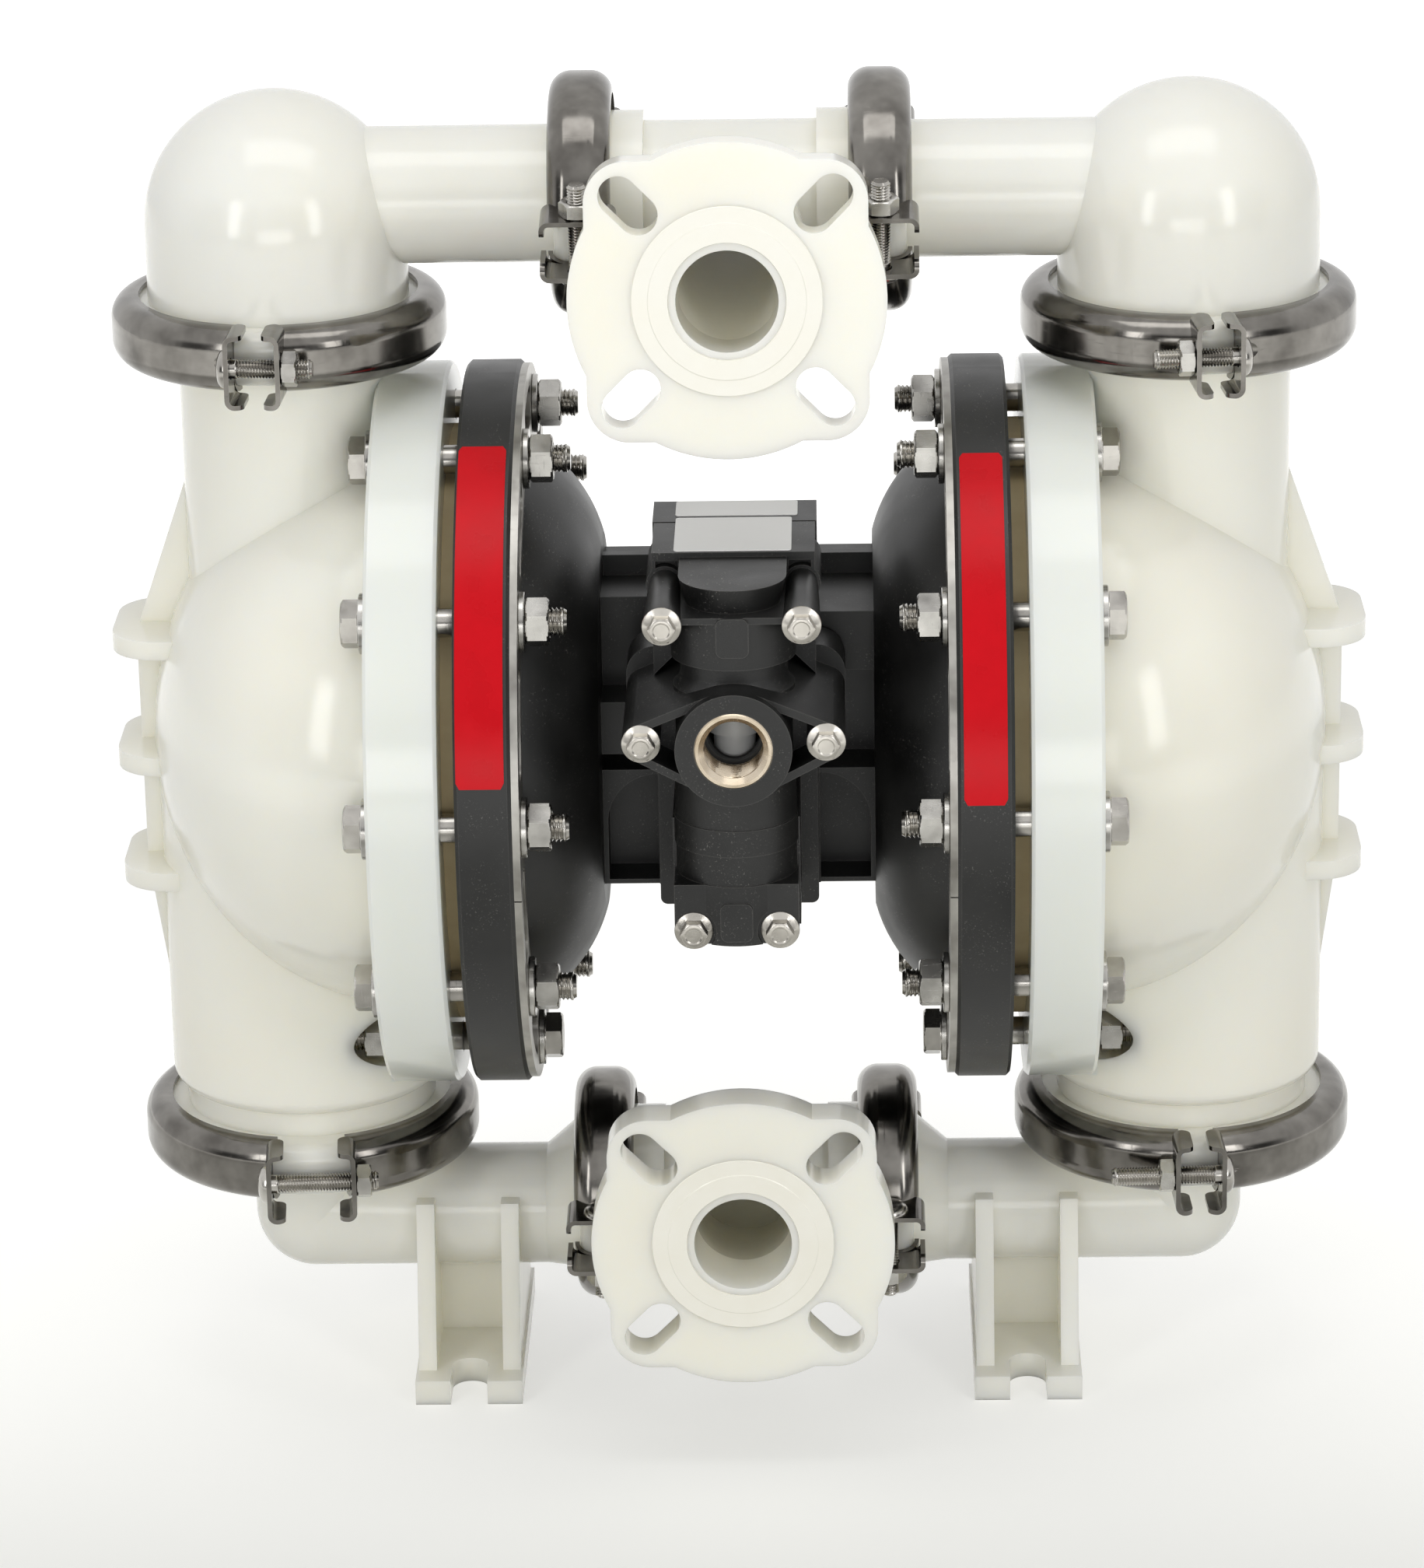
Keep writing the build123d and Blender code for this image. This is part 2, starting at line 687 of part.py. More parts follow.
def fluid_chamber():
    rim = turned_x([(fluid_rim_plane, 0), (fluid_rim_plane, rim_radius - rim_edge_round),
                    (fluid_rim_plane + rim_edge_round, rim_radius),
                    (fluid_rim_back - rim_edge_round, rim_radius),
                    (fluid_rim_back, rim_radius - rim_edge_round), (fluid_rim_back, 0)])
    body = at_rod(rim + quarter_bowl(fluid_rim_back, bowl_reach, bowl_base_radius))
    upper = Pos(column_offset, 0, upper_joint_height)
    lower = Pos(column_offset, 0, lower_joint_height)
    body += rod_z(column_offset, 0, rod_height, upper_joint_height, upper_column_radius)
    body += upper * lip(*column_band)
    shoulder = lower_joint_height + lower_neck_height
    body += rod_z(column_offset, 0, lower_joint_height, shoulder + lower_shoulder_round, lower_neck_radius)
    body += Pos(column_offset, 0, 0) * lower_column(shoulder, rod_height)
    body += lower * Rot(180, 0, 0) * lip(*lower_band)
    body += fins() + web()
    cavity = at_rod(quarter_bowl(fluid_rim_plane, fluid_rim_thickness + bowl_reach - bowl_wall,
                                 convolution_outer_radius + chamber_mouth_margin))
    cavity += rod_z(column_offset, 0, rod_height, upper_joint_height, upper_column_bore)
    cavity += rod_z(column_offset, 0, lower_joint_height, rod_height, lower_column_bore)
    ribs = [lower * rib for rib in cage(lower_column_bore + 1.0, 0, lower_ball_height - lower_joint_height)]
    body -= cavity
    for rib in ribs:
        body += rib
    body -= lower * rod_z(0, 0, 0, seat_height_above + face_gap, seat_radius + static_fit)
    body -= upper * rod_z(0, 0, -seat_depth_below - face_gap, 0, seat_radius + static_fit)
    body -= upper * seal_ring(column_seal_radius, static_fit)
    body -= lower * seal_ring(column_seal_radius, static_fit)
    for cut in rim_holes(fluid_rim_plane, fluid_rim_back) + rim_pockets():
        body -= cut
    return body


def fins():
    outline = Pos(column_offset + fin_reach / 2, 0) * Rectangle(fin_reach, 2 * fin_half_width)
    outline = fillet(outline.vertices().group_by(Axis.X)[-1], fin_corner)
    fin = extrude(outline, fin_thickness / 2, both=True)
    middle = (fin_count - 1) / 2
    shapes = [Pos(0, 0, fin_middle_height + (step - middle) * fin_pitch) * fin for step in range(fin_count)]
    return shapes[0] + shapes[1:]


def web():
    top = fin_middle_height + web_rise
    bottom = fin_middle_height - web_drop
    edge = column_offset + web_reach
    points = [(column_offset, top), (column_offset + upper_column_radius, top),
              (edge, fin_middle_height + fin_pitch), (edge, fin_middle_height - fin_pitch),
              (column_offset + lower_column_radius - 1.0, bottom), (column_offset, bottom)]
    return extrude(Plane.XZ * make_face(Polyline(*points, close=True)), web_thickness / 2, both=True)


# Air chamber and its backing rings

def air_chamber():
    mouth = convolution_outer_radius + chamber_mouth_margin
    bend = (air_end_plane + air_dome_bend[0], air_end_radius + air_dome_bend[1])
    outer = [Line((air_end_plane, 0), (air_end_plane, air_end_radius)),
             ThreePointArc((air_end_plane, air_end_radius), bend, (air_rim_back, air_dome_radius)),
             Polyline((air_rim_back, air_dome_radius), (air_rim_back, rim_radius - rim_edge_round),
                      (air_rim_back + rim_edge_round, rim_radius),
                      (air_rim_plane - rim_edge_round, rim_radius),
                      (air_rim_plane, rim_radius - rim_edge_round), (air_rim_plane, 0), (air_end_plane, 0))]
    inner_start = (air_end_inner, air_end_radius - air_wall)
    inner_bend = (inner_start[0] + air_hollow_bend[0], inner_start[1] + air_hollow_bend[1])
    inner_end = (air_rim_back + air_hollow_depth, mouth)
    inner = [Line((air_end_inner, 0), inner_start), ThreePointArc(inner_start, inner_bend, inner_end),
             Polyline(inner_end, (air_rim_plane, mouth), (air_rim_plane, 0), (air_end_inner, 0))]
    body = revolve(Plane.XZ * make_face(outer), Axis.X) - revolve(Plane.XZ * make_face(inner), Axis.X)
    body -= rod_x(air_end_plane, air_end_inner, 0, 0, bushing_radius + static_fit)
    body -= rod_x(air_end_plane, air_end_inner, 0, -pilot_drop, pilot_radius + 1.0)
    body = at_rod(body)
    for hole in rim_holes(air_rim_back, air_rim_plane):
        body -= hole
    return body


def backing_rings():
    # two half rings with a window between each pair of bolts
    ring = Circle(rim_radius - 1.5) - Circle(air_dome_radius)
    pitch = 360 / rim_bolt_count
    window = Circle(rim_bolt_radius + 9.0) - Circle(rim_bolt_radius - 7.5)
    far = rim_radius * 1.2
    wedge = Polygon((0, 0), (far, -far / 6), (far, far / 6), align=None)
    window = fillet((window & wedge).vertices(), 5.0)
    hole = Pos(rim_bolt_radius, 0) * Circle((rim_bolt_size + rim_bolt_clearance) / 2)
    for step in range(rim_bolt_count):
        ring -= Rot(0, 0, pitch * (step + 0.5)) * window
        ring -= Rot(0, 0, pitch * step) * hole
    split = Rot(0, 0, pitch * 0.28) * Rectangle(rim_radius * 2.2, 0.6)
    plate = extrude(ring - split, backing_ring_thickness)
    # local X turns to the front, -Y, and the plate grows along +X
    place = Plane((backing_plane, 0, rod_height), x_dir=(0, -1, 0), z_dir=(1, 0, 0))
    return place * plate


def rim_hardware():
    bolts = []
    nuts = []
    washers = []
    grip_start = backing_plane - rim_washer_thickness
    grip_end = fluid_rim_back + rim_washer_thickness
    disc = Circle(rim_washer_radius) - Circle(rim_bolt_size / 2 + 0.5)
    washer = Rot(0, 90, 0) * extrude(disc, rim_washer_thickness)
    nut = Rot(0, 90, 0) * hexagon(rim_bolt_flats, rim_nut_height)
    nut -= rod_x(0, rim_nut_height, 0, 0, rim_bolt_size / 2 + static_fit)
    head = Rot(0, 90, 0) * hexagon(rim_bolt_flats, rim_head_height)
    for angle in rim_spots():
        washers.append(at_rim_spot(angle, Pos(grip_start, 0, 0) * washer))
        washers.append(at_rim_spot(angle, Pos(fluid_rim_back, 0, 0) * washer))
        if is_reversed(angle):
            end = grip_end + rim_nut_height + rim_bolt_projection
            bolt = rod_x(grip_start, end, 0, 0, rim_bolt_size / 2)
            bolt += Pos(grip_start - rim_head_height, 0, 0) * head
            bolts.append(at_rim_spot(angle, bolt))
            nuts.append(at_rim_spot(angle, Pos(grip_end, 0, 0) * nut))
        else:
            start = grip_start - rim_nut_height - rim_bolt_projection
            bolt = rod_x(start, grip_end, 0, 0, rim_bolt_size / 2) + Pos(grip_end, 0, 0) * head
            bolts.append(at_rim_spot(angle, bolt))
            nuts.append(at_rim_spot(angle, Pos(grip_start - rim_nut_height, 0, 0) * nut))
    return bolts, nuts, washers


def make_chambers():
    write_pair("fluid_chamber", fluid_chamber())
    write_pair("air_chamber", air_chamber())
    write_pair("backing_rings", backing_rings())
    bolts, nuts, washers = rim_hardware()
    for name, shapes in (("chamber_bolts", bolts), ("chamber_nuts", nuts), ("chamber_washers", washers)):
        write(name, Compound(children=shapes + [left_of(shape) for shape in shapes]))


# Diaphragms, plates and rod

def diaphragm(start, thickness):
    # flat at the rim and under the plates, one fold between them that stands towards the fluid
    fold_start = plate_radius + 4.0
    fold_middle = (fold_start + convolution_outer_radius) / 2
    hole = rod_radius + 3.0
    end = start + thickness

    def side(x):
        crest = (x + convolution_height, fold_middle)
        return [Line((x, hole), (x, fold_start)),
                ThreePointArc((x, fold_start), crest, (x, convolution_outer_radius)),
                Line((x, convolution_outer_radius), (x, diaphragm_radius))]
    edges = side(start) + side(end)
    edges += [Line((start, hole), (end, hole)), Line((start, diaphragm_radius), (end, diaphragm_radius))]
    return at_rod(revolve(Plane.XZ * make_face(edges), Axis.X))


def make_moving():
    middle = air_rim_plane + backup_diaphragm_thickness
    write_pair("backup_diaphragm", diaphragm(air_rim_plane, backup_diaphragm_thickness))
    write_pair("main_diaphragm", diaphragm(middle, main_diaphragm_thickness))
    hub = rod_radius + static_fit
    step = inner_plate_plane + 4.0
    inner = turned_x([(inner_plate_plane, hub), (inner_plate_plane, plate_radius * 0.35),
                      (step, plate_radius * 0.5), (step, plate_radius - 2.0), (step + 2.0, plate_radius),
                      (air_rim_plane, plate_radius), (air_rim_plane, hub)])
    write_pair("inner_plate", at_rod(inner))
    crown = fluid_rim_plane + outer_plate_thickness
    outer = turned_x([(fluid_rim_plane, hub), (fluid_rim_plane, plate_radius),
                      (fluid_rim_plane + 4.0, plate_radius), (fluid_rim_plane + 9.0, plate_radius - 8.0),
                      (crown, plate_radius * 0.4), (crown, 0), (crown - 4.0, 0), (crown - 4.0, hub)])
    write_pair("outer_plate", at_rod(outer))
    write("diaphragm_rod", rod_x(4.0 - crown, crown - 4.0, 0, rod_height, rod_radius))
    pilot = rod_x(-pilot_half_length, pilot_half_length, 0, rod_height - pilot_drop, pilot_radius)
    write("pilot_rod", pilot)


# Centre block

def arch_frame(side):
    # open frame under the ledge, with a quarter round arch next to the pedestal
    half = air_end_plane
    inner = pedestal_half_width
    floor = -block_front - 4.0
    radius = half - inner - arch_wall
    spring = arch_frame_top - arch_wall - radius
    frame = block(side * (inner - 1.0), side * half, -ledge_front, -block_front, block_bottom,
                  arch_frame_top)
    pocket = block(side * inner, side * (inner + radius), -ledge_front - 1.0, floor,
                   block_bottom + arch_wall, spring)
    quarter = rod_y(side * inner, -ledge_front - 1.0, floor, spring, radius)
    quarter &= block(side * inner, side * half, -ledge_front - 1.0, floor, block_bottom, arch_frame_top)
    return frame - pocket - quarter


def centre_block():
    half = air_end_plane
    inner = pedestal_half_width
    body = block(-half, half, -block_front, block_rear, block_bottom, block_top)
    body += block(-half, half, block_ridge_start, block_ridge_start + block_ridge_thickness, block_top,
                  block_top + block_ridge_height)
    body += block(-inner, inner, -pedestal_front, -pedestal_rear, block_bottom, pedestal_top)
    body += block(inner - 1.0, half, -ledge_front, -block_front, right_ledge_bottom, block_top)
    body += block(-half, 1.0 - inner, -ledge_front, -block_front, left_ledge_bottom, left_ledge_top)
    body += arch_frame(-1) + arch_frame(1)
    body -= rod_x(-half, half, 0, 0, rod_radius + 2.0)
    for side in (-1, 1):
        body -= rod_x(side * bushing_inner_end, side * half, 0, 0, bushing_radius + static_fit)
    body -= rod_x(-half, half, 0, -pilot_drop, pilot_sleeve_radius + static_fit)
    socket = block_rear - muffler_stem_length
    body -= rod_y(0, socket, block_rear, muffler_height, muffler_stem_radius + static_fit)
    for x, z, plane in valve_bolt_spots:
        for side in (-1, 1):
            body -= rod_y(side * x, -pedestal_front, valve_bolt_depth - pedestal_front, z,
                          valve_bolt_radius + static_fit)
    return body


def make_centre():
    write("centre_block", at_rod(centre_block()))
    bushing = rod_x(bushing_inner_end + face_gap, air_end_plane, 0, 0, bushing_radius)
    bushing -= rod_x(0, air_end_plane, 0, 0, rod_radius + running_fit)
    write("rod_bushings", at_rod(Compound(children=[bushing, left_of(bushing)])))
    seal = rod_x(air_end_plane, air_end_plane + seal_ring_length, 0, 0, bushing_radius)
    seal -= rod_x(air_end_plane, air_end_inner, 0, 0, rod_radius + running_fit)
    write("rod_seals", at_rod(Compound(children=[seal, left_of(seal)])))
    sleeve = rod_x(-air_end_plane, air_end_plane, 0, -pilot_drop, pilot_sleeve_radius)
    sleeve -= rod_x(-air_end_plane, air_end_plane, 0, -pilot_drop, pilot_radius + running_fit)
    write("pilot_sleeve", at_rod(sleeve))
    stem_end = block_rear - muffler_stem_length + face_gap
    stem = rod_y(0, stem_end, block_rear + 1.0, muffler_height, muffler_stem_radius)
    can = rod_y(0, block_rear, block_rear + muffler_length, muffler_height, muffler_radius)
    can = chamfer(can.edges().filter_by(GeomType.CIRCLE), 2.0)
    write("exhaust_muffler", at_rod(can + stem))


# Air valve

def tangent_strip(first, second, inset):
    # strip between the two outer tangents of two circles, each given as (x, z, radius)
    lean = math.atan2(second[1] - first[1], second[0] - first[0])
    reach = math.hypot(second[0] - first[0], second[1] - first[1])
    turn = math.acos((first[2] - second[2]) / reach)
    points = []
    for (x, z, radius), side in ((first, 1), (second, 1), (second, -1), (first, -1)):
        angle = lean + side * turn
        points.append((x + (radius - inset) * math.cos(angle), z + (radius - inset) * math.sin(angle)))
    return Polygon(*points, align=None)


def both_sides(outline):
    return outline + mirror(outline, about=Plane.YZ)


def spool_housing():
    # upright barrel with a wide top band, a flared neck below it and three shallow steps lower down
    wide = spool_housing_radius
    narrow = wide - spool_band_step
    flare_top = spool_neck_bottom + spool_neck_flare
    upper, middle, lower = spool_band_heights
    edges = [Polyline((0, spool_housing_top), (wide, spool_housing_top), (wide, spool_neck_top),
                      (spool_neck_radius, spool_neck_top), (spool_neck_radius, flare_top)),
             ThreePointArc((spool_neck_radius, flare_top),
                           (spool_neck_radius + spool_band_step,
                            spool_neck_bottom + spool_neck_flare * 0.45),
                           (narrow, spool_neck_bottom)),
             Polyline((narrow, spool_neck_bottom), (narrow, upper), (wide, upper), (wide, middle),
                      (narrow, middle), (narrow, lower), (wide, lower), (wide, valve_bottom),
                      (0, valve_bottom), (0, spool_housing_top))]
    return Pos(0, -spool_axis, 0) * revolve(Plane.XZ * make_face(edges), Axis.Z)


def spool_cap():
    # cap over the spool bore, drafted so that it widens towards the lid, open to the box behind
    depth = spool_axis - valve_box_front
    foot_outline = Circle(spool_cap_foot_radius)
    foot_outline += Pos(0, depth / 2) * Rectangle(2 * spool_cap_foot_radius, depth)
    cap = extrude(foot_outline, spool_cap_height, taper=-spool_cap_draft)
    return Pos(0, -spool_axis, spool_housing_top) * cap


def valve_box():
    # box under the lid; its lower edge rises from both sides to the barrel's neck
    half = valve_plate_half_width
    rise = half - spool_neck_radius
    points = [(-half, valve_box_bottom), (-spool_neck_radius, valve_box_bottom + rise),
              (spool_neck_radius, valve_box_bottom + rise), (half, valve_box_bottom),
              (half, pedestal_top), (-half, pedestal_top)]
    box = towards_front(Polygon(*points, align=None), valve_back, valve_box_front)
    x, z, plane = valve_bolt_spots[0]
    pocket_top = pedestal_top - valve_lid_thickness
    for side in (-1, 1):
        box -= block(side * (x - valve_boss_neck_radius + 1.0), side * (half - 1.5), -valve_box_front,
                     -valve_box_front + 5.0, z, pocket_top)
    return box


def valve_arms():
    # two ribs run from the inlet hub to each side boss, with a deep pocket between them
    x, z, plane = valve_bolt_spots[1]
    hub = (0, inlet_height, inlet_hub_radius)
    boss = (x, z, valve_boss_radius)
    arms = towards_front(both_sides(tangent_strip(hub, boss, 0)), valve_back, plane)
    shoulder = RectangleRounded(2 * valve_shoulder_half_width, 2 * valve_shoulder_half_height,
                                valve_shoulder_corner)
    arms += towards_front(Pos(0, inlet_height) * shoulder, valve_back, valve_shoulder_front)
    pocket = tangent_strip(hub, boss, valve_rib_thickness)
    pocket -= Pos(0, inlet_height) * Circle(inlet_hub_radius)
    pocket -= Pos(x, z) * Circle(valve_boss_radius)
    arms -= towards_front(both_sides(pocket), plane - valve_rib_pocket_depth, plane + 1.0)
    return arms


def valve_foot():
    # square sided lower end with a round boss at each bottom corner
    x, z, plane = valve_bolt_spots[2]
    half = x + valve_boss_radius
    lowest_step = spool_band_heights[-1]
    outline = Pos(0, (z + lowest_step) / 2) * Rectangle(2 * half, lowest_step - z)
    outline += Pos(0, (z + valve_bottom) / 2) * Rectangle(2 * x, z - valve_bottom)
    outline += both_sides(Pos(x, z) * Circle(valve_boss_radius))
    return towards_front(outline, valve_back, plane)


def valve_body():
    plate = Rectangle(2 * valve_plate_half_width, pedestal_top - valve_plate_bottom)
    plate = Pos(0, (pedestal_top + valve_plate_bottom) / 2) * plate
    plate = fillet(plate.vertices().group_by(Axis.Y)[0], valve_plate_corner)
    body = towards_front(plate, valve_back, valve_back + valve_plate_thickness)
    body += valve_box() + spool_cap() + spool_housing()
    body += block(-valve_block_half_width, valve_block_half_width, -spool_axis, -valve_back,
                  valve_bottom, valve_block_top)
    body += block(-spool_neck_radius, spool_neck_radius, -spool_axis, -valve_back, valve_block_top,
                  spool_housing_top)
    body += valve_arms() + valve_foot()
    top_x, top_z, top_plane = valve_bolt_spots[0]
    bridge_front = spool_axis + spool_housing_radius - spool_band_step
    body += block(-top_x, top_x, -bridge_front, -valve_box_front, spool_housing_top - spool_bridge_thickness,
                  spool_housing_top)
    long_boss = Cone(valve_boss_neck_radius, valve_boss_radius, top_plane - valve_box_front,
                     align=(Align.CENTER, Align.CENTER, Align.MIN))
    for side in (-1, 1):
        body += Pos(side * top_x, -valve_box_front, top_z) * Rot(90, 0, 0) * long_boss
        body += rod_y(side * top_x, -valve_box_front, -valve_back, top_z, valve_boss_radius)
        side_x, side_z, side_plane = valve_bolt_spots[1]
        body += rod_y(side * side_x, -side_plane, -valve_back, side_z, valve_boss_radius)
    body += rod_y(0, -inlet_hub_front, -spool_axis, inlet_height, inlet_hub_radius)
    pad = RectangleRounded(valve_pad_width, valve_pad_height, valve_pad_corner)
    pad_front = spool_axis + spool_housing_radius + valve_pad_stand
    for height in valve_pad_heights:
        body += towards_front(Pos(0, height) * pad, spool_axis + spool_sleeve_radius + 1.0, pad_front)
    body -= rod_z(0, -spool_axis, valve_bottom, spool_bore_top, spool_sleeve_radius + static_fit)
    insert_seat = insert_length - inlet_hub_front
    body -= rod_y(0, -inlet_hub_front, insert_seat, inlet_height, insert_radius + static_fit)
    body -= rod_y(0, -inlet_hub_front, -spool_axis, inlet_height, inlet_passage_radius)
    for x, z, plane in valve_bolt_spots:
        for side in (-1, 1):
            body -= rod_y(side * x, -plane, -valve_back, z, valve_bolt_radius + static_fit)
            body -= rod_y(side * x, -plane - valve_bolt_height, -plane, z, valve_spot_face_radius)
    return body


def valve_spool():
    # a waisted core with three lands
    half = spool_length / 2
    spool = rod_z(0, 0, -half, half, spool_waist_radius)
    for low, high in ((-half, spool_end_land - half), (-spool_middle_land / 2, spool_middle_land / 2),
                      (half - spool_end_land, half)):
        spool += rod_z(0, 0, low, high, spool_radius)
    spool = Pos(0, 0, spool_middle_height) * spool
    return Pos(0, -spool_axis, 0) * spool


def inlet_insert():
    # threaded liner with a chamfered mouth, its axis along Y
    length = insert_length - face_gap + insert_lip
    liner = turned_z([(insert_bore, 0), (insert_radius, 0), (insert_radius, length),
                      (insert_mouth_radius, length), (insert_bore, length - insert_mouth_depth)])
    return Pos(0, insert_length - face_gap - inlet_hub_front, inlet_height) * Rot(90, 0, 0) * liner


def valve_bolt(x, z, plane):
    head = extrude(Circle(valve_bolt_flange_radius), valve_bolt_flange_height)
    head += hexagon(valve_bolt_flats, valve_bolt_height)
    shank = rod_y(x, -plane, valve_bolt_depth - face_gap - pedestal_front, z, valve_bolt_radius)
    return shank + Pos(x, -plane, z) * Rot(90, 0, 0) * head


def make_valve():
    write("air_valve_body", at_rod(valve_body()))
    half = valve_plate_half_width - gasket_inset
    gasket = block(-half, half, -valve_back, -pedestal_front, block_bottom + gasket_inset,
                   pedestal_top - gasket_inset)
    bolts = []
    for x, z, plane in valve_bolt_spots:
        for side in (-1, 1):
            gasket -= rod_y(side * x, -valve_back, -pedestal_front, z, valve_bolt_radius + static_fit)
            bolts.append(valve_bolt(side * x, z, plane))
    write("valve_gasket", at_rod(gasket))
    write("valve_bolts", at_rod(Compound(children=bolts)))
    write("air_inlet_insert", at_rod(inlet_insert()))
    sleeve_bottom = valve_bottom + spool_plug_thickness
    sleeve_top = spool_bore_top - spool_plug_thickness
    sleeve = rod_z(0, -spool_axis, sleeve_bottom, sleeve_top, spool_sleeve_radius)
    sleeve -= rod_z(0, -spool_axis, sleeve_bottom, sleeve_top, spool_radius + running_fit)
    sleeve -= rod_y(0, -spool_axis - spool_sleeve_radius, -spool_axis, inlet_height, inlet_passage_radius)
    write("spool_sleeve", at_rod(sleeve))
    plugs = [rod_z(0, -spool_axis, valve_bottom, sleeve_bottom, spool_sleeve_radius),
             rod_z(0, -spool_axis, sleeve_top, spool_bore_top - face_gap, spool_sleeve_radius)]
    write("spool_end_plugs", at_rod(Compound(children=plugs)))
    write("valve_spool", at_rod(valve_spool()))


make_manifolds()
make_chambers()
make_moving()
make_centre()
make_valve()
make_valves()
make_seals()
make_clamps()
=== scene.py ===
import math

import bmesh
import bpy
import numpy as np
from mathutils import Matrix, Vector


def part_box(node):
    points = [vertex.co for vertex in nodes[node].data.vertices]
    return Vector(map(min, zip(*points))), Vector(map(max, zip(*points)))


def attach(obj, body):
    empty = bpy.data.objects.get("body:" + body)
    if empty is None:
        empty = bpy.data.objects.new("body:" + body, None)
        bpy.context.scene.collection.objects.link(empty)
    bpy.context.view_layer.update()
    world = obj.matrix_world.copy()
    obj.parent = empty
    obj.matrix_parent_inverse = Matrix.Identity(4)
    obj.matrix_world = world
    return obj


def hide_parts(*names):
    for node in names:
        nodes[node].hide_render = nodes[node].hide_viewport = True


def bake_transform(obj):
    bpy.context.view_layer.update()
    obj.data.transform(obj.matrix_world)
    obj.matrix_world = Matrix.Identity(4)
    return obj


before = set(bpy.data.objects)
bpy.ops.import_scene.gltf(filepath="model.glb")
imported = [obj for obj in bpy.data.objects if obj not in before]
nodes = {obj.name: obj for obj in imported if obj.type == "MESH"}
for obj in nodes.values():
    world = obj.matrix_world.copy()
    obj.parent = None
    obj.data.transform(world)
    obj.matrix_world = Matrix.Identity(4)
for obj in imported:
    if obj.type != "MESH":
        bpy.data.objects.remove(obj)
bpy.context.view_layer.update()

# Air operated diaphragm pump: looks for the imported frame. Metres, +Z up, ports and valve face -Y.
mm = 0.001
print("frame loaded:", len(nodes), "nodes")


# Small helpers for node trees

def addNode(tree, kind, inputs=None, **settings):
    node = tree.nodes.new(kind)
    for key, value in settings.items():
        setattr(node, key, value)
    for key, value in (inputs or {}).items():
        if isinstance(value, bpy.types.NodeSocket):
            tree.links.new(value, node.inputs[key])
        else:
            node.inputs[key].default_value = value
    return node


def maths(tree, operation, first, second=0.0, clamp=False):
    node = addNode(tree, "ShaderNodeMath", {0: first, 1: second}, operation=operation, use_clamp=clamp)
    return node.outputs[0]


def distanceOf(tree, first, second):
    across = maths(tree, "MULTIPLY", first, first)
    along = maths(tree, "MULTIPLY", second, second)
    return maths(tree, "SQRT", maths(tree, "ADD", across, along))


def mapRange(tree, value, low, high, toLow=0.0, toHigh=1.0, smooth=True):
    node = addNode(tree, "ShaderNodeMapRange", {"Value": value, "From Min": low, "From Max": high,
                                                "To Min": toLow, "To Max": toHigh})
    node.interpolation_type = "SMOOTHSTEP" if smooth else "LINEAR"
    return node.outputs["Result"]


def mixColour(tree, factor, first, second):
    return addNode(tree, "ShaderNodeMix", {0: factor, 6: first, 7: second}, data_type="RGBA").outputs[2]


def objectPlace(tree):
    return addNode(tree, "ShaderNodeTexCoord").outputs["Object"]


def stretched(tree, place, turn, scale):
    node = addNode(tree, "ShaderNodeMapping", {"Vector": place, "Rotation": turn, "Scale": scale})
    return node.outputs["Vector"]


def noiseAt(tree, place, size, detail, roughness=0.5):
    node = addNode(tree, "ShaderNodeTexNoise", {"Vector": place, "Scale": size, "Detail": detail,
                                                "Roughness": roughness})
    return node.outputs["Fac"]


def colour(red, green, blue):
    # display values from 0 to 255 turned into linear light
    def linear(value):
        value = value / 255
        return value / 12.92 if value <= 0.04045 else ((value + 0.055) / 1.055) ** 2.4
    return (linear(red), linear(green), linear(blue), 1.0)


def newGroup(name, inputs, output):
    # number inputs with their first values, and one number output
    tree = bpy.data.node_groups.new(name, "ShaderNodeTree")
    for socketName, value in inputs.items():
        socket = tree.interface.new_socket(name=socketName, in_out="INPUT", socket_type="NodeSocketFloat")
        socket.default_value = value
    tree.interface.new_socket(name=output, in_out="OUTPUT", socket_type="NodeSocketFloat")
    return tree, tree.nodes.new("NodeGroupInput").outputs, tree.nodes.new("NodeGroupOutput").inputs


def useGroup(tree, group, **values):
    return addNode(tree, "ShaderNodeGroup", values, node_tree=group).outputs[0]


# Effects that several finishes share

# Slow change of tone over a surface, from 0 to 1
slowTone = {"detail": 3.0, "roughness": 0.55, "middle": 0.5}


def makeToneGroup():
    tree, source, sink = newGroup("slowVariation", {"Size": 20.0, "Contrast": 0.5}, "Mask")
    noise = noiseAt(tree, objectPlace(tree), source["Size"], slowTone["detail"], slowTone["roughness"])
    shifted = maths(tree, "SUBTRACT", noise, slowTone["middle"])
    scaled = maths(tree, "MULTIPLY", shifted, source["Contrast"])
    tree.links.new(maths(tree, "ADD", scaled, slowTone["middle"], clamp=True), sink["Mask"])
    return tree


# Short pale streaks, as glass fibre leaves on a moulded face, gathered in patches
fibres = {
    "turn": (0.4, 0.2, 0.7),
    "stretch": (1.0, 0.35, 1.0),
    "detail": 2.0,
    "roughness": 0.7,
    "streaks": (0.60, 0.74),
    "patchSize": 45.0,
    "patches": (0.42, 0.62),
}


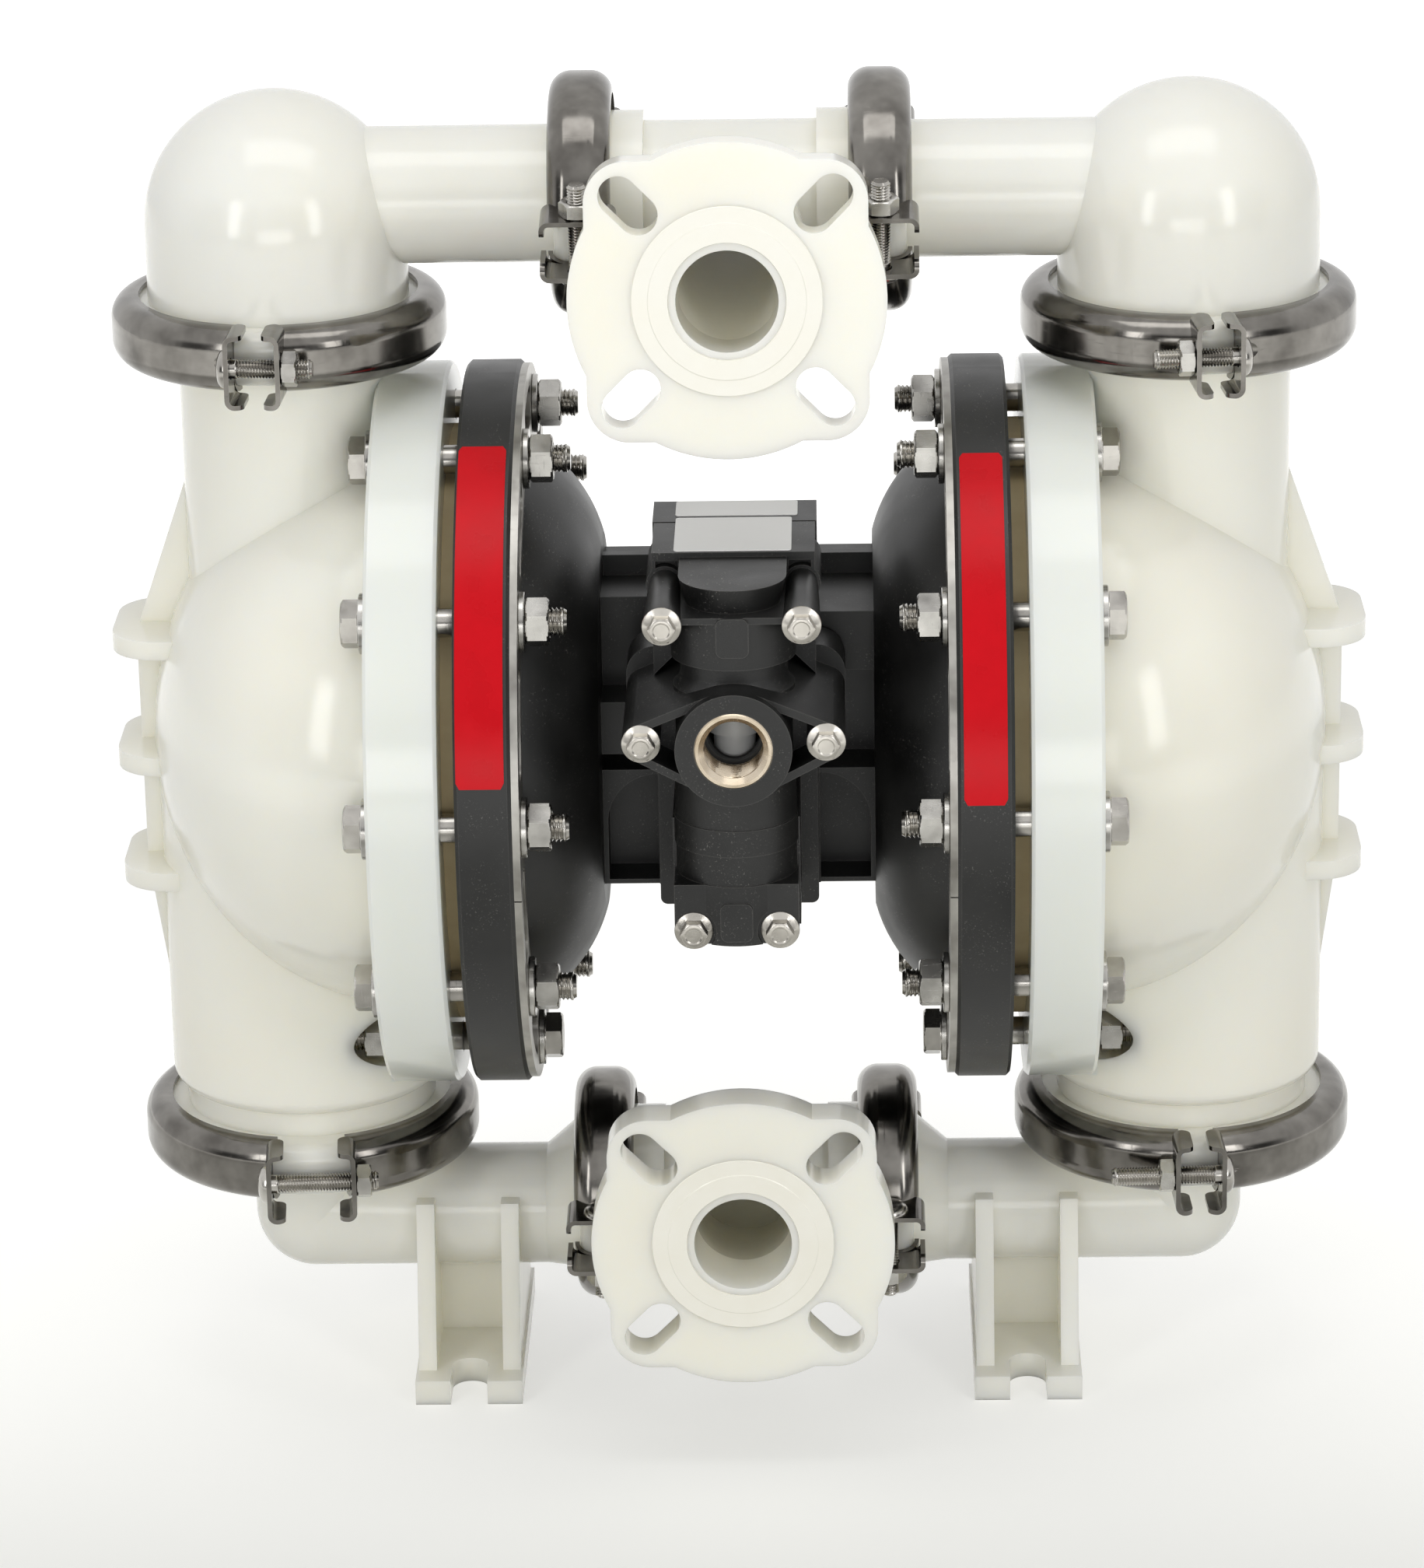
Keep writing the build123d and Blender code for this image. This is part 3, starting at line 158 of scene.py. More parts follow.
def makeFibreGroup():
    tree, source, sink = newGroup("fibreStreaks", {"Size": 900.0, "Amount": 0.4}, "Mask")
    place = objectPlace(tree)
    along = stretched(tree, place, fibres["turn"], fibres["stretch"])
    streaks = mapRange(tree, noiseAt(tree, along, source["Size"], fibres["detail"], fibres["roughness"]),
                       *fibres["streaks"])
    patches = mapRange(tree, noiseAt(tree, place, fibres["patchSize"], fibres["detail"]), *fibres["patches"])
    both = maths(tree, "MULTIPLY", streaks, patches)
    tree.links.new(maths(tree, "MULTIPLY", both, source["Amount"], clamp=True), sink["Mask"])
    return tree


# Edges: the cosine of the turn at which the mask starts, and at which it is full
edgeTurn = {"start": 0.995, "full": 0.80, "samples": 4}


def makeEdgeGroup():
    tree, source, sink = newGroup("edgeLine", {"Width": 0.0008, "Amount": 1.0}, "Mask")
    bevel = addNode(tree, "ShaderNodeBevel", {"Radius": source["Width"]}, samples=edgeTurn["samples"])
    flat = addNode(tree, "ShaderNodeNewGeometry").outputs["Normal"]
    normals = {0: bevel.outputs["Normal"], 1: flat}
    dot = addNode(tree, "ShaderNodeVectorMath", normals, operation="DOT_PRODUCT").outputs["Value"]
    mask = mapRange(tree, dot, edgeTurn["start"], edgeTurn["full"])
    tree.links.new(maths(tree, "MULTIPLY", mask, source["Amount"], clamp=True), sink["Mask"])
    return tree


# Fine scratches in three directions: the turn and the stretch of each
scratches = {
    "lines": (((0.3, 0.5, 0.2), (1.0, 14.0, 1.0)), ((0.9, 0.1, 1.4), (12.0, 1.0, 1.0)),
              ((0.2, 1.2, 0.8), (1.0, 1.0, 16.0))),
    "detail": 4.0,
    "roughness": 0.7,
    "range": (0.60, 0.72),
}


def makeScratchGroup():
    tree, source, sink = newGroup("fineScratches", {"Size": 60.0, "Amount": 1.0}, "Mask")
    place = objectPlace(tree)
    masks = []
    for turn, scale in scratches["lines"]:
        along = stretched(tree, place, turn, scale)
        noise = noiseAt(tree, along, source["Size"], scratches["detail"], scratches["roughness"])
        masks.append(mapRange(tree, noise, *scratches["range"]))
    total = maths(tree, "ADD", maths(tree, "ADD", masks[0], masks[1]), masks[2], clamp=True)
    tree.links.new(maths(tree, "MULTIPLY", total, source["Amount"], clamp=True), sink["Mask"])
    return tree


# Fine even grain of a moulded or cast surface, as a height
fineGrain = {"detail": 3.0, "roughness": 0.6}


def makeGrainGroup():
    tree, source, sink = newGroup("fineGrain", {"Size": 1800.0}, "Height")
    noise = noiseAt(tree, objectPlace(tree), source["Size"], fineGrain["detail"], fineGrain["roughness"])
    tree.links.new(noise, sink["Height"])
    return tree


toneGroup = makeToneGroup()
fibreGroup = makeFibreGroup()
edgeGroup = makeEdgeGroup()
scratchGroup = makeScratchGroup()
grainGroup = makeGrainGroup()
print("shared effects made")


def startMaterial(name, values=None):
    material = bpy.data.materials.new(name)
    material.use_nodes = True
    tree = material.node_tree
    shader = tree.nodes["Principled BSDF"]
    for key, value in (values or {}).items():
        shader.inputs[key].default_value = value
    return material, tree, shader


def roughened(tree, shader, mask, low, high, full=1.0):
    tree.links.new(mapRange(tree, mask, 0.0, full, low, high, smooth=False), shader.inputs["Roughness"])


def bumped(tree, shader, height, strength, distance):
    bump = addNode(tree, "ShaderNodeBump", {"Height": height, "Strength": strength, "Distance": distance})
    tree.links.new(bump.outputs["Normal"], shader.inputs["Normal"])


# Milky polypropylene of the wetted parts; the painted shade on the bolting rims lies between two planes and
# two radii, in metres
milk = {
    "cream": colour(243, 240, 225),
    "pale": colour(249, 247, 238),
    "paintedRimShade": colour(233, 236, 230),
    "shader": {"IOR": 1.49, "Subsurface Weight": 0.7, "Subsurface Radius": (1.0, 0.93, 0.80),
               "Subsurface Scale": 0.012},
    "toneSize": 9.0,
    "toneContrast": 1.6,
    "handledSize": 14.0,
    "handledContrast": 1.5,
    "roughness": (0.13, 0.18),
    "grainSize": 260.0,
    "bump": 0.25,
    "bumpDepth": 0.00012,
    "rimPlanes": (0.1195, 0.1502),
    "planeBlend": 0.002,
    "rimRadii": (0.124, 0.1545),
    "innerBlend": 0.01,
    "outerBlend": 0.001,
    "rodHeight": 0.294,
}


# where the painted shade goes: the bolting rims, given by planes across and radii from the rod
def rimShadeMask(tree):
    parts = addNode(tree, "ShaderNodeSeparateXYZ", {0: objectPlace(tree)}).outputs
    across = maths(tree, "ABSOLUTE", parts["X"])
    radius = distanceOf(tree, parts["Y"], maths(tree, "SUBTRACT", parts["Z"], milk["rodHeight"]))
    near, far = milk["rimPlanes"]
    inner, outer = milk["rimRadii"]
    mask = maths(tree, "MULTIPLY", mapRange(tree, across, near - milk["planeBlend"], near),
                 mapRange(tree, across, far + milk["planeBlend"], far))
    mask = maths(tree, "MULTIPLY", mask, mapRange(tree, radius, inner, inner + milk["innerBlend"]))
    return maths(tree, "MULTIPLY", mask, mapRange(tree, radius, outer + milk["outerBlend"], outer))


def makeMilkMaterial():
    material, tree, shader = startMaterial("milkMoulding", milk["shader"])
    tone = useGroup(tree, toneGroup, Size=milk["toneSize"], Contrast=milk["toneContrast"])
    base = mixColour(tree, tone, milk["cream"], milk["pale"])
    # painted shade: the bolting rims at the sides are tinted cooler and a little darker than the rest
    base = mixColour(tree, rimShadeMask(tree), base, milk["paintedRimShade"])
    tree.links.new(base, shader.inputs["Base Color"])
    handled = useGroup(tree, toneGroup, Size=milk["handledSize"], Contrast=milk["handledContrast"])
    roughened(tree, shader, handled, *milk["roughness"])
    bumped(tree, shader, useGroup(tree, grainGroup, Size=milk["grainSize"]), milk["bump"], milk["bumpDepth"])
    return material


# Black glass filled mouldings of the air side; each kind has a material name, a fibre amount and a bump
blackMould = {
    "deep": colour(15, 15, 15),
    "worn": colour(38, 38, 37),
    "fibre": colour(118, 116, 112),
    "shader": {"IOR": 1.5},
    "toneSize": 28.0,
    "toneContrast": 1.8,
    "fibreSize": 1100.0,
    "edgeWidth": 0.0007,
    "edgeAmount": 0.35,
    "roughness": (0.34, 0.52),
    "grainSize": 1500.0,
    "bumpDepth": 0.0001,
    "kinds": {"black": ("blackMoulding", 0.55, 0.35), "valveBlack": ("valveMoulding", 0.75, 0.5)},
}


def makeBlackMaterial(kind):
    name, fibreAmount, bump = blackMould["kinds"][kind]
    material, tree, shader = startMaterial(name, blackMould["shader"])
    tone = useGroup(tree, toneGroup, Size=blackMould["toneSize"], Contrast=blackMould["toneContrast"])
    base = mixColour(tree, tone, blackMould["deep"], blackMould["worn"])
    fibre = useGroup(tree, fibreGroup, Size=blackMould["fibreSize"], Amount=fibreAmount)
    base = mixColour(tree, fibre, base, blackMould["fibre"])
    edge = useGroup(tree, edgeGroup, Width=blackMould["edgeWidth"], Amount=blackMould["edgeAmount"])
    base = mixColour(tree, edge, base, blackMould["fibre"])
    tree.links.new(base, shader.inputs["Base Color"])
    roughened(tree, shader, tone, *blackMould["roughness"])
    grain = useGroup(tree, grainGroup, Size=blackMould["grainSize"])
    bumped(tree, shader, grain, bump, blackMould["bumpDepth"])
    return material


# Metals: bright and dull tone, lowest and highest roughness, scratch size
metals = {
    "bandSteel": (colour(138, 135, 130), colour(94, 91, 87), 0.13, 0.26, 45.0),
    "boltSteel": (colour(196, 193, 187), colour(140, 137, 132), 0.16, 0.30, 90.0),
    "nutSteel": (colour(206, 204, 199), colour(140, 138, 134), 0.18, 0.36, 90.0),
    "ringSteel": (colour(190, 188, 182), colour(132, 129, 124), 0.30, 0.48, 60.0),
    "rodSteel": (colour(180, 180, 180), colour(140, 140, 140), 0.15, 0.25, 120.0),
    "valveBoltSteel": (colour(214, 210, 202), colour(158, 154, 147), 0.24, 0.40, 120.0),
    "insertNickel": (colour(226, 214, 196), colour(176, 160, 136), 0.20, 0.34, 80.0),
}
# What all the metals share; they are roughest where tone and scratches add up to fullWear
metalWear = {"toneSize": 55.0, "toneContrast": 2.2, "edgeWidth": 0.0006, "edgeAmount": 0.5, "fullWear": 1.6,
             "bump": 0.12, "bumpDepth": 0.00006}


def makeMetalMaterial(name):
    bright, dull, low, high, scratchSize = metals[name]
    material, tree, shader = startMaterial(name, {"Metallic": 1.0})
    tone = useGroup(tree, toneGroup, Size=metalWear["toneSize"], Contrast=metalWear["toneContrast"])
    base = mixColour(tree, tone, dull, bright)
    edge = useGroup(tree, edgeGroup, Width=metalWear["edgeWidth"], Amount=metalWear["edgeAmount"])
    base = mixColour(tree, edge, base, bright)
    tree.links.new(base, shader.inputs["Base Color"])
    scratched = useGroup(tree, scratchGroup, Size=scratchSize)
    roughened(tree, shader, maths(tree, "ADD", tone, scratched), low, high, metalWear["fullWear"])
    bumped(tree, shader, scratched, metalWear["bump"], metalWear["bumpDepth"])
    return material


# Plain finishes: light and dark tone, roughness, specular level, grain size and bump
plainFinishes = {
    "tanElastomer": (colour(234, 216, 172), colour(216, 194, 146), 0.62, 0.5, 700.0, 0.4),
    "blackGasket": (colour(40, 40, 40), colour(24, 24, 24), 0.8, 0.5, 900.0, 0.4),
    "whiteFluoro": (colour(240, 240, 236), colour(226, 226, 222), 0.38, 0.5, 600.0, 0.15),
    "whiteAcetal": (colour(226, 227, 226), colour(208, 210, 209), 0.3, 0.5, 600.0, 0.1),
    "stripRed": (colour(208, 4, 22), colour(196, 2, 18), 0.28, 0.15, 1200.0, 0.08),
    "plateWhite": (colour(252, 252, 250), colour(246, 246, 244), 0.34, 0.5, 1200.0, 0.06),
    "milkRings": (colour(248, 246, 236), colour(244, 241, 228), 0.18, 0.5, 260.0, 0.15),
    "porousGrey": (colour(72, 72, 72), colour(40, 40, 40), 0.85, 0.5, 380.0, 0.9),
}
# What all the plain finishes share
plainWear = {"toneSize": 60.0, "toneContrast": 1.8, "smoother": 0.05, "rougher": 0.08, "bumpDepth": 0.0001}


def makePlainMaterial(name):
    light, dark, rough, specular, grainSize, bump = plainFinishes[name]
    material, tree, shader = startMaterial(name, {"Specular IOR Level": specular})
    tone = useGroup(tree, toneGroup, Size=plainWear["toneSize"], Contrast=plainWear["toneContrast"])
    tree.links.new(mixColour(tree, tone, dark, light), shader.inputs["Base Color"])
    roughened(tree, shader, tone, rough - plainWear["smoother"], rough + plainWear["rougher"])
    bumped(tree, shader, useGroup(tree, grainGroup, Size=grainSize), bump, plainWear["bumpDepth"])
    return material


materials = {"milk": makeMilkMaterial()}
for finishName in blackMould["kinds"]:
    materials[finishName] = makeBlackMaterial(finishName)
for finishName in metals:
    materials[finishName] = makeMetalMaterial(finishName)
for finishName in plainFinishes:
    materials[finishName] = makePlainMaterial(finishName)

# Which finish each CAD node takes: the first row whose name starts the node's name
nodeFinishes = [
    ("discharge_ball", "whiteFluoro"), ("suction_ball", "whiteFluoro"), ("discharge_seat", "whiteFluoro"),
    ("suction_seat", "whiteFluoro"), ("discharge_", "milk"), ("suction_", "milk"), ("fluid_chamber", "milk"),
    ("air_valve_body", "valveBlack"), ("air_chamber", "black"), ("centre_block", "black"),
    ("clamp_bolts", "boltSteel"), ("clamp_nuts", "nutSteel"), ("clamp_", "bandSteel"),
    ("chamber_bolts", "boltSteel"), ("chamber_", "nutSteel"), ("valve_bolts", "valveBoltSteel"),
    ("backing_rings", "ringSteel"), ("main_diaphragm", "tanElastomer"), ("backup_diaphragm", "tanElastomer"),
    ("column_seals", "whiteFluoro"), ("manifold_seals", "whiteFluoro"), ("rod_seals", "blackGasket"),
    ("air_inlet_insert", "insertNickel"), ("valve_spool", "whiteAcetal"), ("spool_sleeve", "blackGasket"),
    ("spool_end_plugs", "blackGasket"), ("rod_bushings", "whiteAcetal"), ("pilot_sleeve", "whiteAcetal"),
    ("diaphragm_rod", "rodSteel"), ("pilot_rod", "rodSteel"), ("outer_plate", "whiteFluoro"),
    ("inner_plate", "blackGasket"), ("valve_gasket", "blackGasket"), ("exhaust_muffler", "porousGrey"),
]


def dressNodes():
    for name, item in nodes.items():
        finish = next(value for start, value in nodeFinishes if name.startswith(start))
        if not item.material_slots:
            item.data.materials.append(materials[finish])
        for slot in item.material_slots:
            slot.material = materials[finish]


dressNodes()
print("materials on every node")


# Mesh making shared by the pieces below

def makePiece(name, vertices, faces, finish, body, smoothAngle=32):
    mesh = bpy.data.meshes.new(name)
    mesh.from_pydata([tuple(point) for point in vertices], [], faces)
    mesh.validate()
    shape = bmesh.new()
    shape.from_mesh(mesh)
    bmesh.ops.recalc_face_normals(shape, faces=shape.faces)
    shape.to_mesh(mesh)
    shape.free()
    mesh.polygons.foreach_set("use_smooth", [True] * len(mesh.polygons))
    mesh.set_sharp_from_angle(angle=math.radians(smoothAngle))
    mesh.materials.append(materials[finish])
    item = bpy.data.objects.new(name, mesh)
    bpy.context.scene.collection.objects.link(item)
    if body:
        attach(item, body)
    return item


def skinRings(rings, wrap=False):
    # rings are lists of points of one length; wrap joins the last ring to the first
    count = len(rings[0])
    points = [point for ring in rings for point in ring]
    faces = []
    last = len(rings) if wrap else len(rings) - 1
    for row in range(last):
        below = row * count
        above = (row + 1) % len(rings) * count
        for step in range(count):
            after = (step + 1) % count
            faces.append((below + step, below + after, above + after, above + step))
    if not wrap:
        faces.append(tuple(reversed(range(count))))
        top = (len(rings) - 1) * count
        faces.append(tuple(range(top, top + count)))
    return points, faces


def joinSkins(parts):
    vertices = []
    faces = []
    for points, polygons in parts:
        start = len(vertices)
        vertices.extend(points)
        faces.extend(tuple(start + index for index in polygon) for polygon in polygons)
    return vertices, faces


def ringAt(height, radiusAt, samples):
    # radiusAt is a number, or a function of the angle
    points = []
    for step in range(samples):
        angle = 2 * math.pi * step / samples
        radius = radiusAt(angle) if callable(radiusAt) else radiusAt
        points.append(Vector((radius * math.cos(angle), radius * math.sin(angle), height)))
    return points


def placeRings(rings, matrix, origin):
    # rings in millimetres, origin in metres
    return [[matrix @ (point * mm) + origin for point in ring] for ring in rings]


def frameAlong(axis, sideways):
    # matrix whose Z runs along axis and whose X lies as near to sideways as it can
    up = Vector(axis).normalized()
    across = Vector(sideways)
    across = (across - up * across.dot(up)).normalized()
    return Matrix((across, up.cross(across), up)).transposed()


def hexRadius(flats):
    # corners at 0, 60, 120 degrees and so on; the hair keeps rounding from splitting a corner
    hair = 1e-6

    def radius(angle):
        return flats / 2 / math.cos(math.radians((math.degrees(angle) + hair) % 60 - 30))
    return radius


def chamferRings(flats, height, upwards, samples, face=0.95, steps=4):
    # corners cut by a cone of 30 degrees, as on every nut and bolt head; face is the uncut share of the width
    outline = hexRadius(flats)
    start = flats / 2 * face
    slope = math.tan(math.radians(30))
    deep = (flats / math.sqrt(3) - start) * slope
    rings = []
    for step in range(steps + 1):
        down = deep * step / steps
        rings.append(ringAt(height - down if upwards else height + down,
                            lambda angle, down=down: min(outline(angle), start + down / slope), samples))
    return rings[::-1] if upwards else rings


# Threads in shares of the pitch: the groove's depth, the bare length at a bolt's end, how far from the end
# the point starts, how much it is cut there and how much at the end
threadShape = {"depth": 0.6, "bareEnd": 0.8, "pointLength": 0.7, "pointCut": 0.35, "endCut": 0.75}


def threadRings(low, high, radius, pitch, samples, perTurn=6, outward=-1):
    # outward -1 cuts the groove into a bolt, 1 cuts it into the wall of a hole
    depth = pitch * threadShape["depth"]
    rings = []
    count = max(2, round((high - low) / pitch * perTurn))
    for row in range(count + 1):
        height = low + (high - low) * row / count
        run = min(1.0, (height - low) / pitch, (high - height) / pitch)

        def crest(angle, height=height, run=run):
            phase = (height / pitch - angle / (2 * math.pi)) % 1.0
            return radius + outward * depth * run * (1 - abs(2 * phase - 1))
        rings.append(ringAt(height, crest, samples))
    return rings


# Reading places off the CAD nodes: points closer than weld are one, topLayer holds the top face of a head,
# and points beyond headShare of the reach belong to the head
measuring = {"weld": 1e-6, "topLayer": 0.0002, "headShare": 0.9}


def splitSolids(name):
    # the separate solids of a CAD node, each as an array of points
    mesh = bmesh.new()
    mesh.from_mesh(nodes[name].data)
    bmesh.ops.remove_doubles(mesh, verts=mesh.verts, dist=measuring["weld"])
    seen = set()
    solids = []
    for first in mesh.verts:
        if first in seen:
            continue
        seen.add(first)
        waiting = [first]
        group = []
        while waiting:
            vertex = waiting.pop()
            group.append(tuple(nodes[name].matrix_world @ vertex.co))
            for edge in vertex.link_edges:
                other = edge.other_vert(vertex)
                if other not in seen:
                    seen.add(other)
                    waiting.append(other)
        solids.append(np.array(group))
    mesh.free()
    return solids


def measureAlong(points, axis):
    # the middle of a solid, its points' positions along an axis and their offsets from it
    middle = points.mean(axis=0)
    along = (points - middle) @ axis
    away = points - middle - np.outer(along, axis)
    return middle, along, away


def mainAxis(points, longest=True):
    spread = np.linalg.eigh(np.cov((points - points.mean(axis=0)).T))[1]
    return spread[:, 2 if longest else 0]


def boltFrames(name):
    # where each bolt's head top lies, its direction from head to end, its length and a corner's direction
    frames = []
    for points in splitSolids(name):
        axis = mainAxis(points)
        middle, along, away = measureAlong(points, axis)
        reach = np.linalg.norm(away, axis=1)
        if along[reach > reach.max() * measuring["headShare"]].mean() > 0:
            axis = -axis
            along = -along
        atTop = along < along.min() + measuring["topLayer"]
        corner = away[atTop][np.argmax(reach[atTop])]
        origin = middle + axis * along.min()
        frames.append((Vector(origin), Vector(axis), float(along.max() - along.min()), Vector(corner)))
    return frames


# Bolts and nuts, sizes in millimetres; dish gives the radii of the shallow dish in a head
chamberBolt = {"flats": 18.0, "head": 7.5, "thread": 6.0, "pitch": 1.75, "threaded": 24.0, "samples": 36,
               "dishDepth": 0.25, "dish": (1.08, 5.4, 6.048), "washerFace": 0.4, "faceRadius": 8.46}
clampBolt = {"headRadius": 8.2, "head": 4.0, "thread": 4.0, "pitch": 1.25, "neck": 4.0, "samples": 30,
             "topRadius": 0.4, "domeSteps": 6, "domeRise": 0.9, "domeWidth": 0.8}
valveBolt = {"flats": 10.0, "head": 7.0, "thread": 3.4, "samples": 36, "chamfer": 0.92,
             "dishDepth": 0.4, "dish": (1.0, 3.0, 3.6), "flangeRadius": 8.0, "flange": 1.8,
             "fillet": (0.15, 0.2), "flangeEdge": ((0.9, 0.7), (1.2, 0.15), (1.5, 0.0)), "seatCut": 0.1}
chamberNut = {"flats": 18.0, "bore": 6.1, "countersink": 0.7, "samples": 36}
clampNut = {"flats": 13.0, "bore": 4.1, "countersink": 0.7, "samples": 36}
chamberWasher = {"radius": 12.5, "hole": 6.5, "thickness": 2.5, "edge": 0.35, "samples": 48}


def dishRings(size):
    inner, outer, rim = size["dish"]
    samples = size["samples"]
    return [ringAt(size["dishDepth"], inner, samples), ringAt(size["dishDepth"], outer, samples),
            ringAt(0.0, rim, samples)]


def threadedEnd(start, length, size):
    # the thread, then the point, which stops a hair short of the end
    shape = threadShape
    radius = size["thread"]
    pitch = size["pitch"]
    samples = size["samples"]
    hair = 0.01
    rings = threadRings(start, length - pitch * shape["bareEnd"], radius, pitch, samples)
    point = length - pitch * shape["pointLength"]
    return rings + [ringAt(point, radius - pitch * shape["pointCut"], samples),
                    ringAt(length - hair, radius - pitch * shape["endCut"], samples)]


def chamberBoltRings(length):
    # dished top, cut corners and flats, then a thin washer face under them
    size = chamberBolt
    samples = size["samples"]
    under = size["head"] - size["washerFace"]
    rings = dishRings(size) + chamferRings(size["flats"], 0.0, False, samples)
    rings += [ringAt(under, hexRadius(size["flats"]), samples), ringAt(under, size["faceRadius"], samples),
              ringAt(size["head"], size["faceRadius"], samples),
              ringAt(size["head"], size["thread"], samples)]
    return rings + threadedEnd(length - size["threaded"], length, size)


def clampBoltRings(length):
    # a low dome on a plain neck
    size = clampBolt
    rings = [ringAt(0.0, size["topRadius"], size["samples"])]
    for step in reversed(range(size["domeSteps"])):
        turn = math.radians(90 * step / size["domeSteps"])
        rings.append(ringAt(size["head"] * (1 - math.sin(turn) ** size["domeRise"]),
                            size["headRadius"] * math.cos(turn) ** size["domeWidth"], size["samples"]))
    rings.append(ringAt(size["head"], size["thread"], size["samples"]))
    return rings + threadedEnd(size["head"] + size["neck"], length, size)


def valveBoltRings(length):
    size = valveBolt
    samples = size["samples"]
    seat = size["head"]
    top = seat - size["flange"]
    outline = hexRadius(size["flats"])
    filletRise, filletWidth = size["fillet"]
    rings = dishRings(size) + chamferRings(size["flats"], 0.0, False, samples, face=size["chamfer"])
    rings += [ringAt(top, outline, samples),
              ringAt(top + filletRise, lambda angle: outline(angle) + filletWidth, samples)]
    rings += [ringAt(top + rise, size["flangeRadius"] - inset, samples) for rise, inset in size["flangeEdge"]]
    return rings + [ringAt(seat, size["flangeRadius"] - size["seatCut"], samples),
                    ringAt(seat, size["thread"], samples), ringAt(length, size["thread"], samples)]


def makeBolts(node, pieceName, finish, boltRings):
    parts = []
    for origin, axis, length, corner in boltFrames(node):
        parts.append(skinRings(placeRings(boltRings(length / mm), frameAlong(axis, corner), origin)))
    piece = makePiece(pieceName, *joinSkins(parts), finish, "pump")
    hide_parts(node)


def nearestAxis(middle, frames):
    # the bolt whose axis passes closest to a nut's middle
    best = None
    for origin, axis, length, corner in frames:
        offset = Vector(middle) - origin
        run = offset.dot(axis)
        gap = (offset - axis * run).length + max(0.0, -run, run - length)
        if best is None or gap < best[0]:
            best = (gap, axis)
    return best[1]


def makeNuts(node, pieceName, size, frames):
    samples = size["samples"]
    bore = size["bore"]
    cut = size["countersink"]
    parts = []
    for points in splitSolids(node):
        boxMiddle = points.min(axis=0) * 0.5 + points.max(axis=0) * 0.5
        axis = np.array(nearestAxis(boxMiddle, frames))
        middle, along, away = measureAlong(points, axis)
        corner = away[np.argmax(np.linalg.norm(away, axis=1))]
        height = float(along.max() - along.min()) / mm
        rings = [ringAt(0.0, bore + cut, samples)]
        rings += chamferRings(size["flats"], 0.0, False, samples)
        rings += chamferRings(size["flats"], height, True, samples)
        rings += [ringAt(height, bore + cut, samples), ringAt(height - cut, bore, samples),
                  ringAt(cut, bore, samples)]
        origin = Vector(middle + axis * along.min())
        parts.append(skinRings(placeRings(rings, frameAlong(axis, corner), origin), wrap=True))
    piece = makePiece(pieceName, *joinSkins(parts), "nutSteel", "pump")
    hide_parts(node)


def makeWashers():
    size = chamberWasher
    hole = size["hole"]
    radius = size["radius"]
    thick = size["thickness"]
    edge = size["edge"]
    outline = [(hole, edge), (hole + edge, 0.0), (radius - edge, 0.0), (radius, edge),
               (radius, thick - edge), (radius - edge, thick), (hole + edge, thick), (hole, thick - edge)]
    rings = [ringAt(height, reach, size["samples"]) for reach, height in outline]
    parts = []
    for points in splitSolids("chamber_washers"):
        axis = mainAxis(points, longest=False)
        middle, along, away = measureAlong(points, axis)
        origin = Vector(middle + axis * along.min())
        upright = abs(axis[2]) > 0.9
        sideways = (0, 1, 0) if upright else (0, 0, 1)
        parts.append(skinRings(placeRings(rings, frameAlong(axis, sideways), origin), wrap=True))
    piece = makePiece("chamberWasherSet", *joinSkins(parts), "nutSteel", "pump")
    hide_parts("chamber_washers")


makeBolts("chamber_bolts", "chamberBoltSet", "boltSteel", chamberBoltRings)
makeBolts("clamp_bolts", "clampBoltSet", "boltSteel", clampBoltRings)
makeBolts("valve_bolts", "valveBoltSet", "valveBoltSteel", valveBoltRings)
makeNuts("chamber_nuts", "chamberNutSet", chamberNut, boltFrames("chamber_bolts"))
makeNuts("clamp_nuts", "clampNutSet", clampNut, boltFrames("clamp_bolts"))
makeWashers()
print("bolts, nuts and washers made")


def frontOf(node):
    # the middle of a node's front face, and how far the node runs back from it in millimetres
    low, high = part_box(node)
    return Vector(((low.x + high.x) / 2, low.y, (low.z + high.z) / 2)), (high.y - low.y) / mm


# Threaded liner of the air inlet
inletLiner = {"outer": 15.9, "edge": 0.5, "mouth": 14.2, "bore": 12.1, "threadStart": 2.1, "threadEnd": 1.0,
              "pitch": 1.814, "perTurn": 8, "relief": 0.6, "samples": 72}


def makeInletLiner():
    size = inletLiner
    samples = size["samples"]
    middle, length = frontOf("air_inlet_insert")
    rings = [ringAt(length, size["outer"], samples), ringAt(size["edge"], size["outer"], samples),
             ringAt(0.0, size["outer"] - size["edge"], samples), ringAt(0.0, size["mouth"], samples)]
    threadEnd = length - size["threadEnd"]
    rings += threadRings(size["threadStart"], threadEnd, size["bore"], size["pitch"], samples,
                         perTurn=size["perTurn"], outward=1)
    rings.append(ringAt(length, size["bore"] + size["relief"], samples))
    skin = skinRings(placeRings(rings, frameAlong((0, 1, 0), (1, 0, 0)), middle), wrap=True)
    piece = makePiece("inletLiner", *skin, "insertNickel", "pump")
    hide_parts("air_inlet_insert")


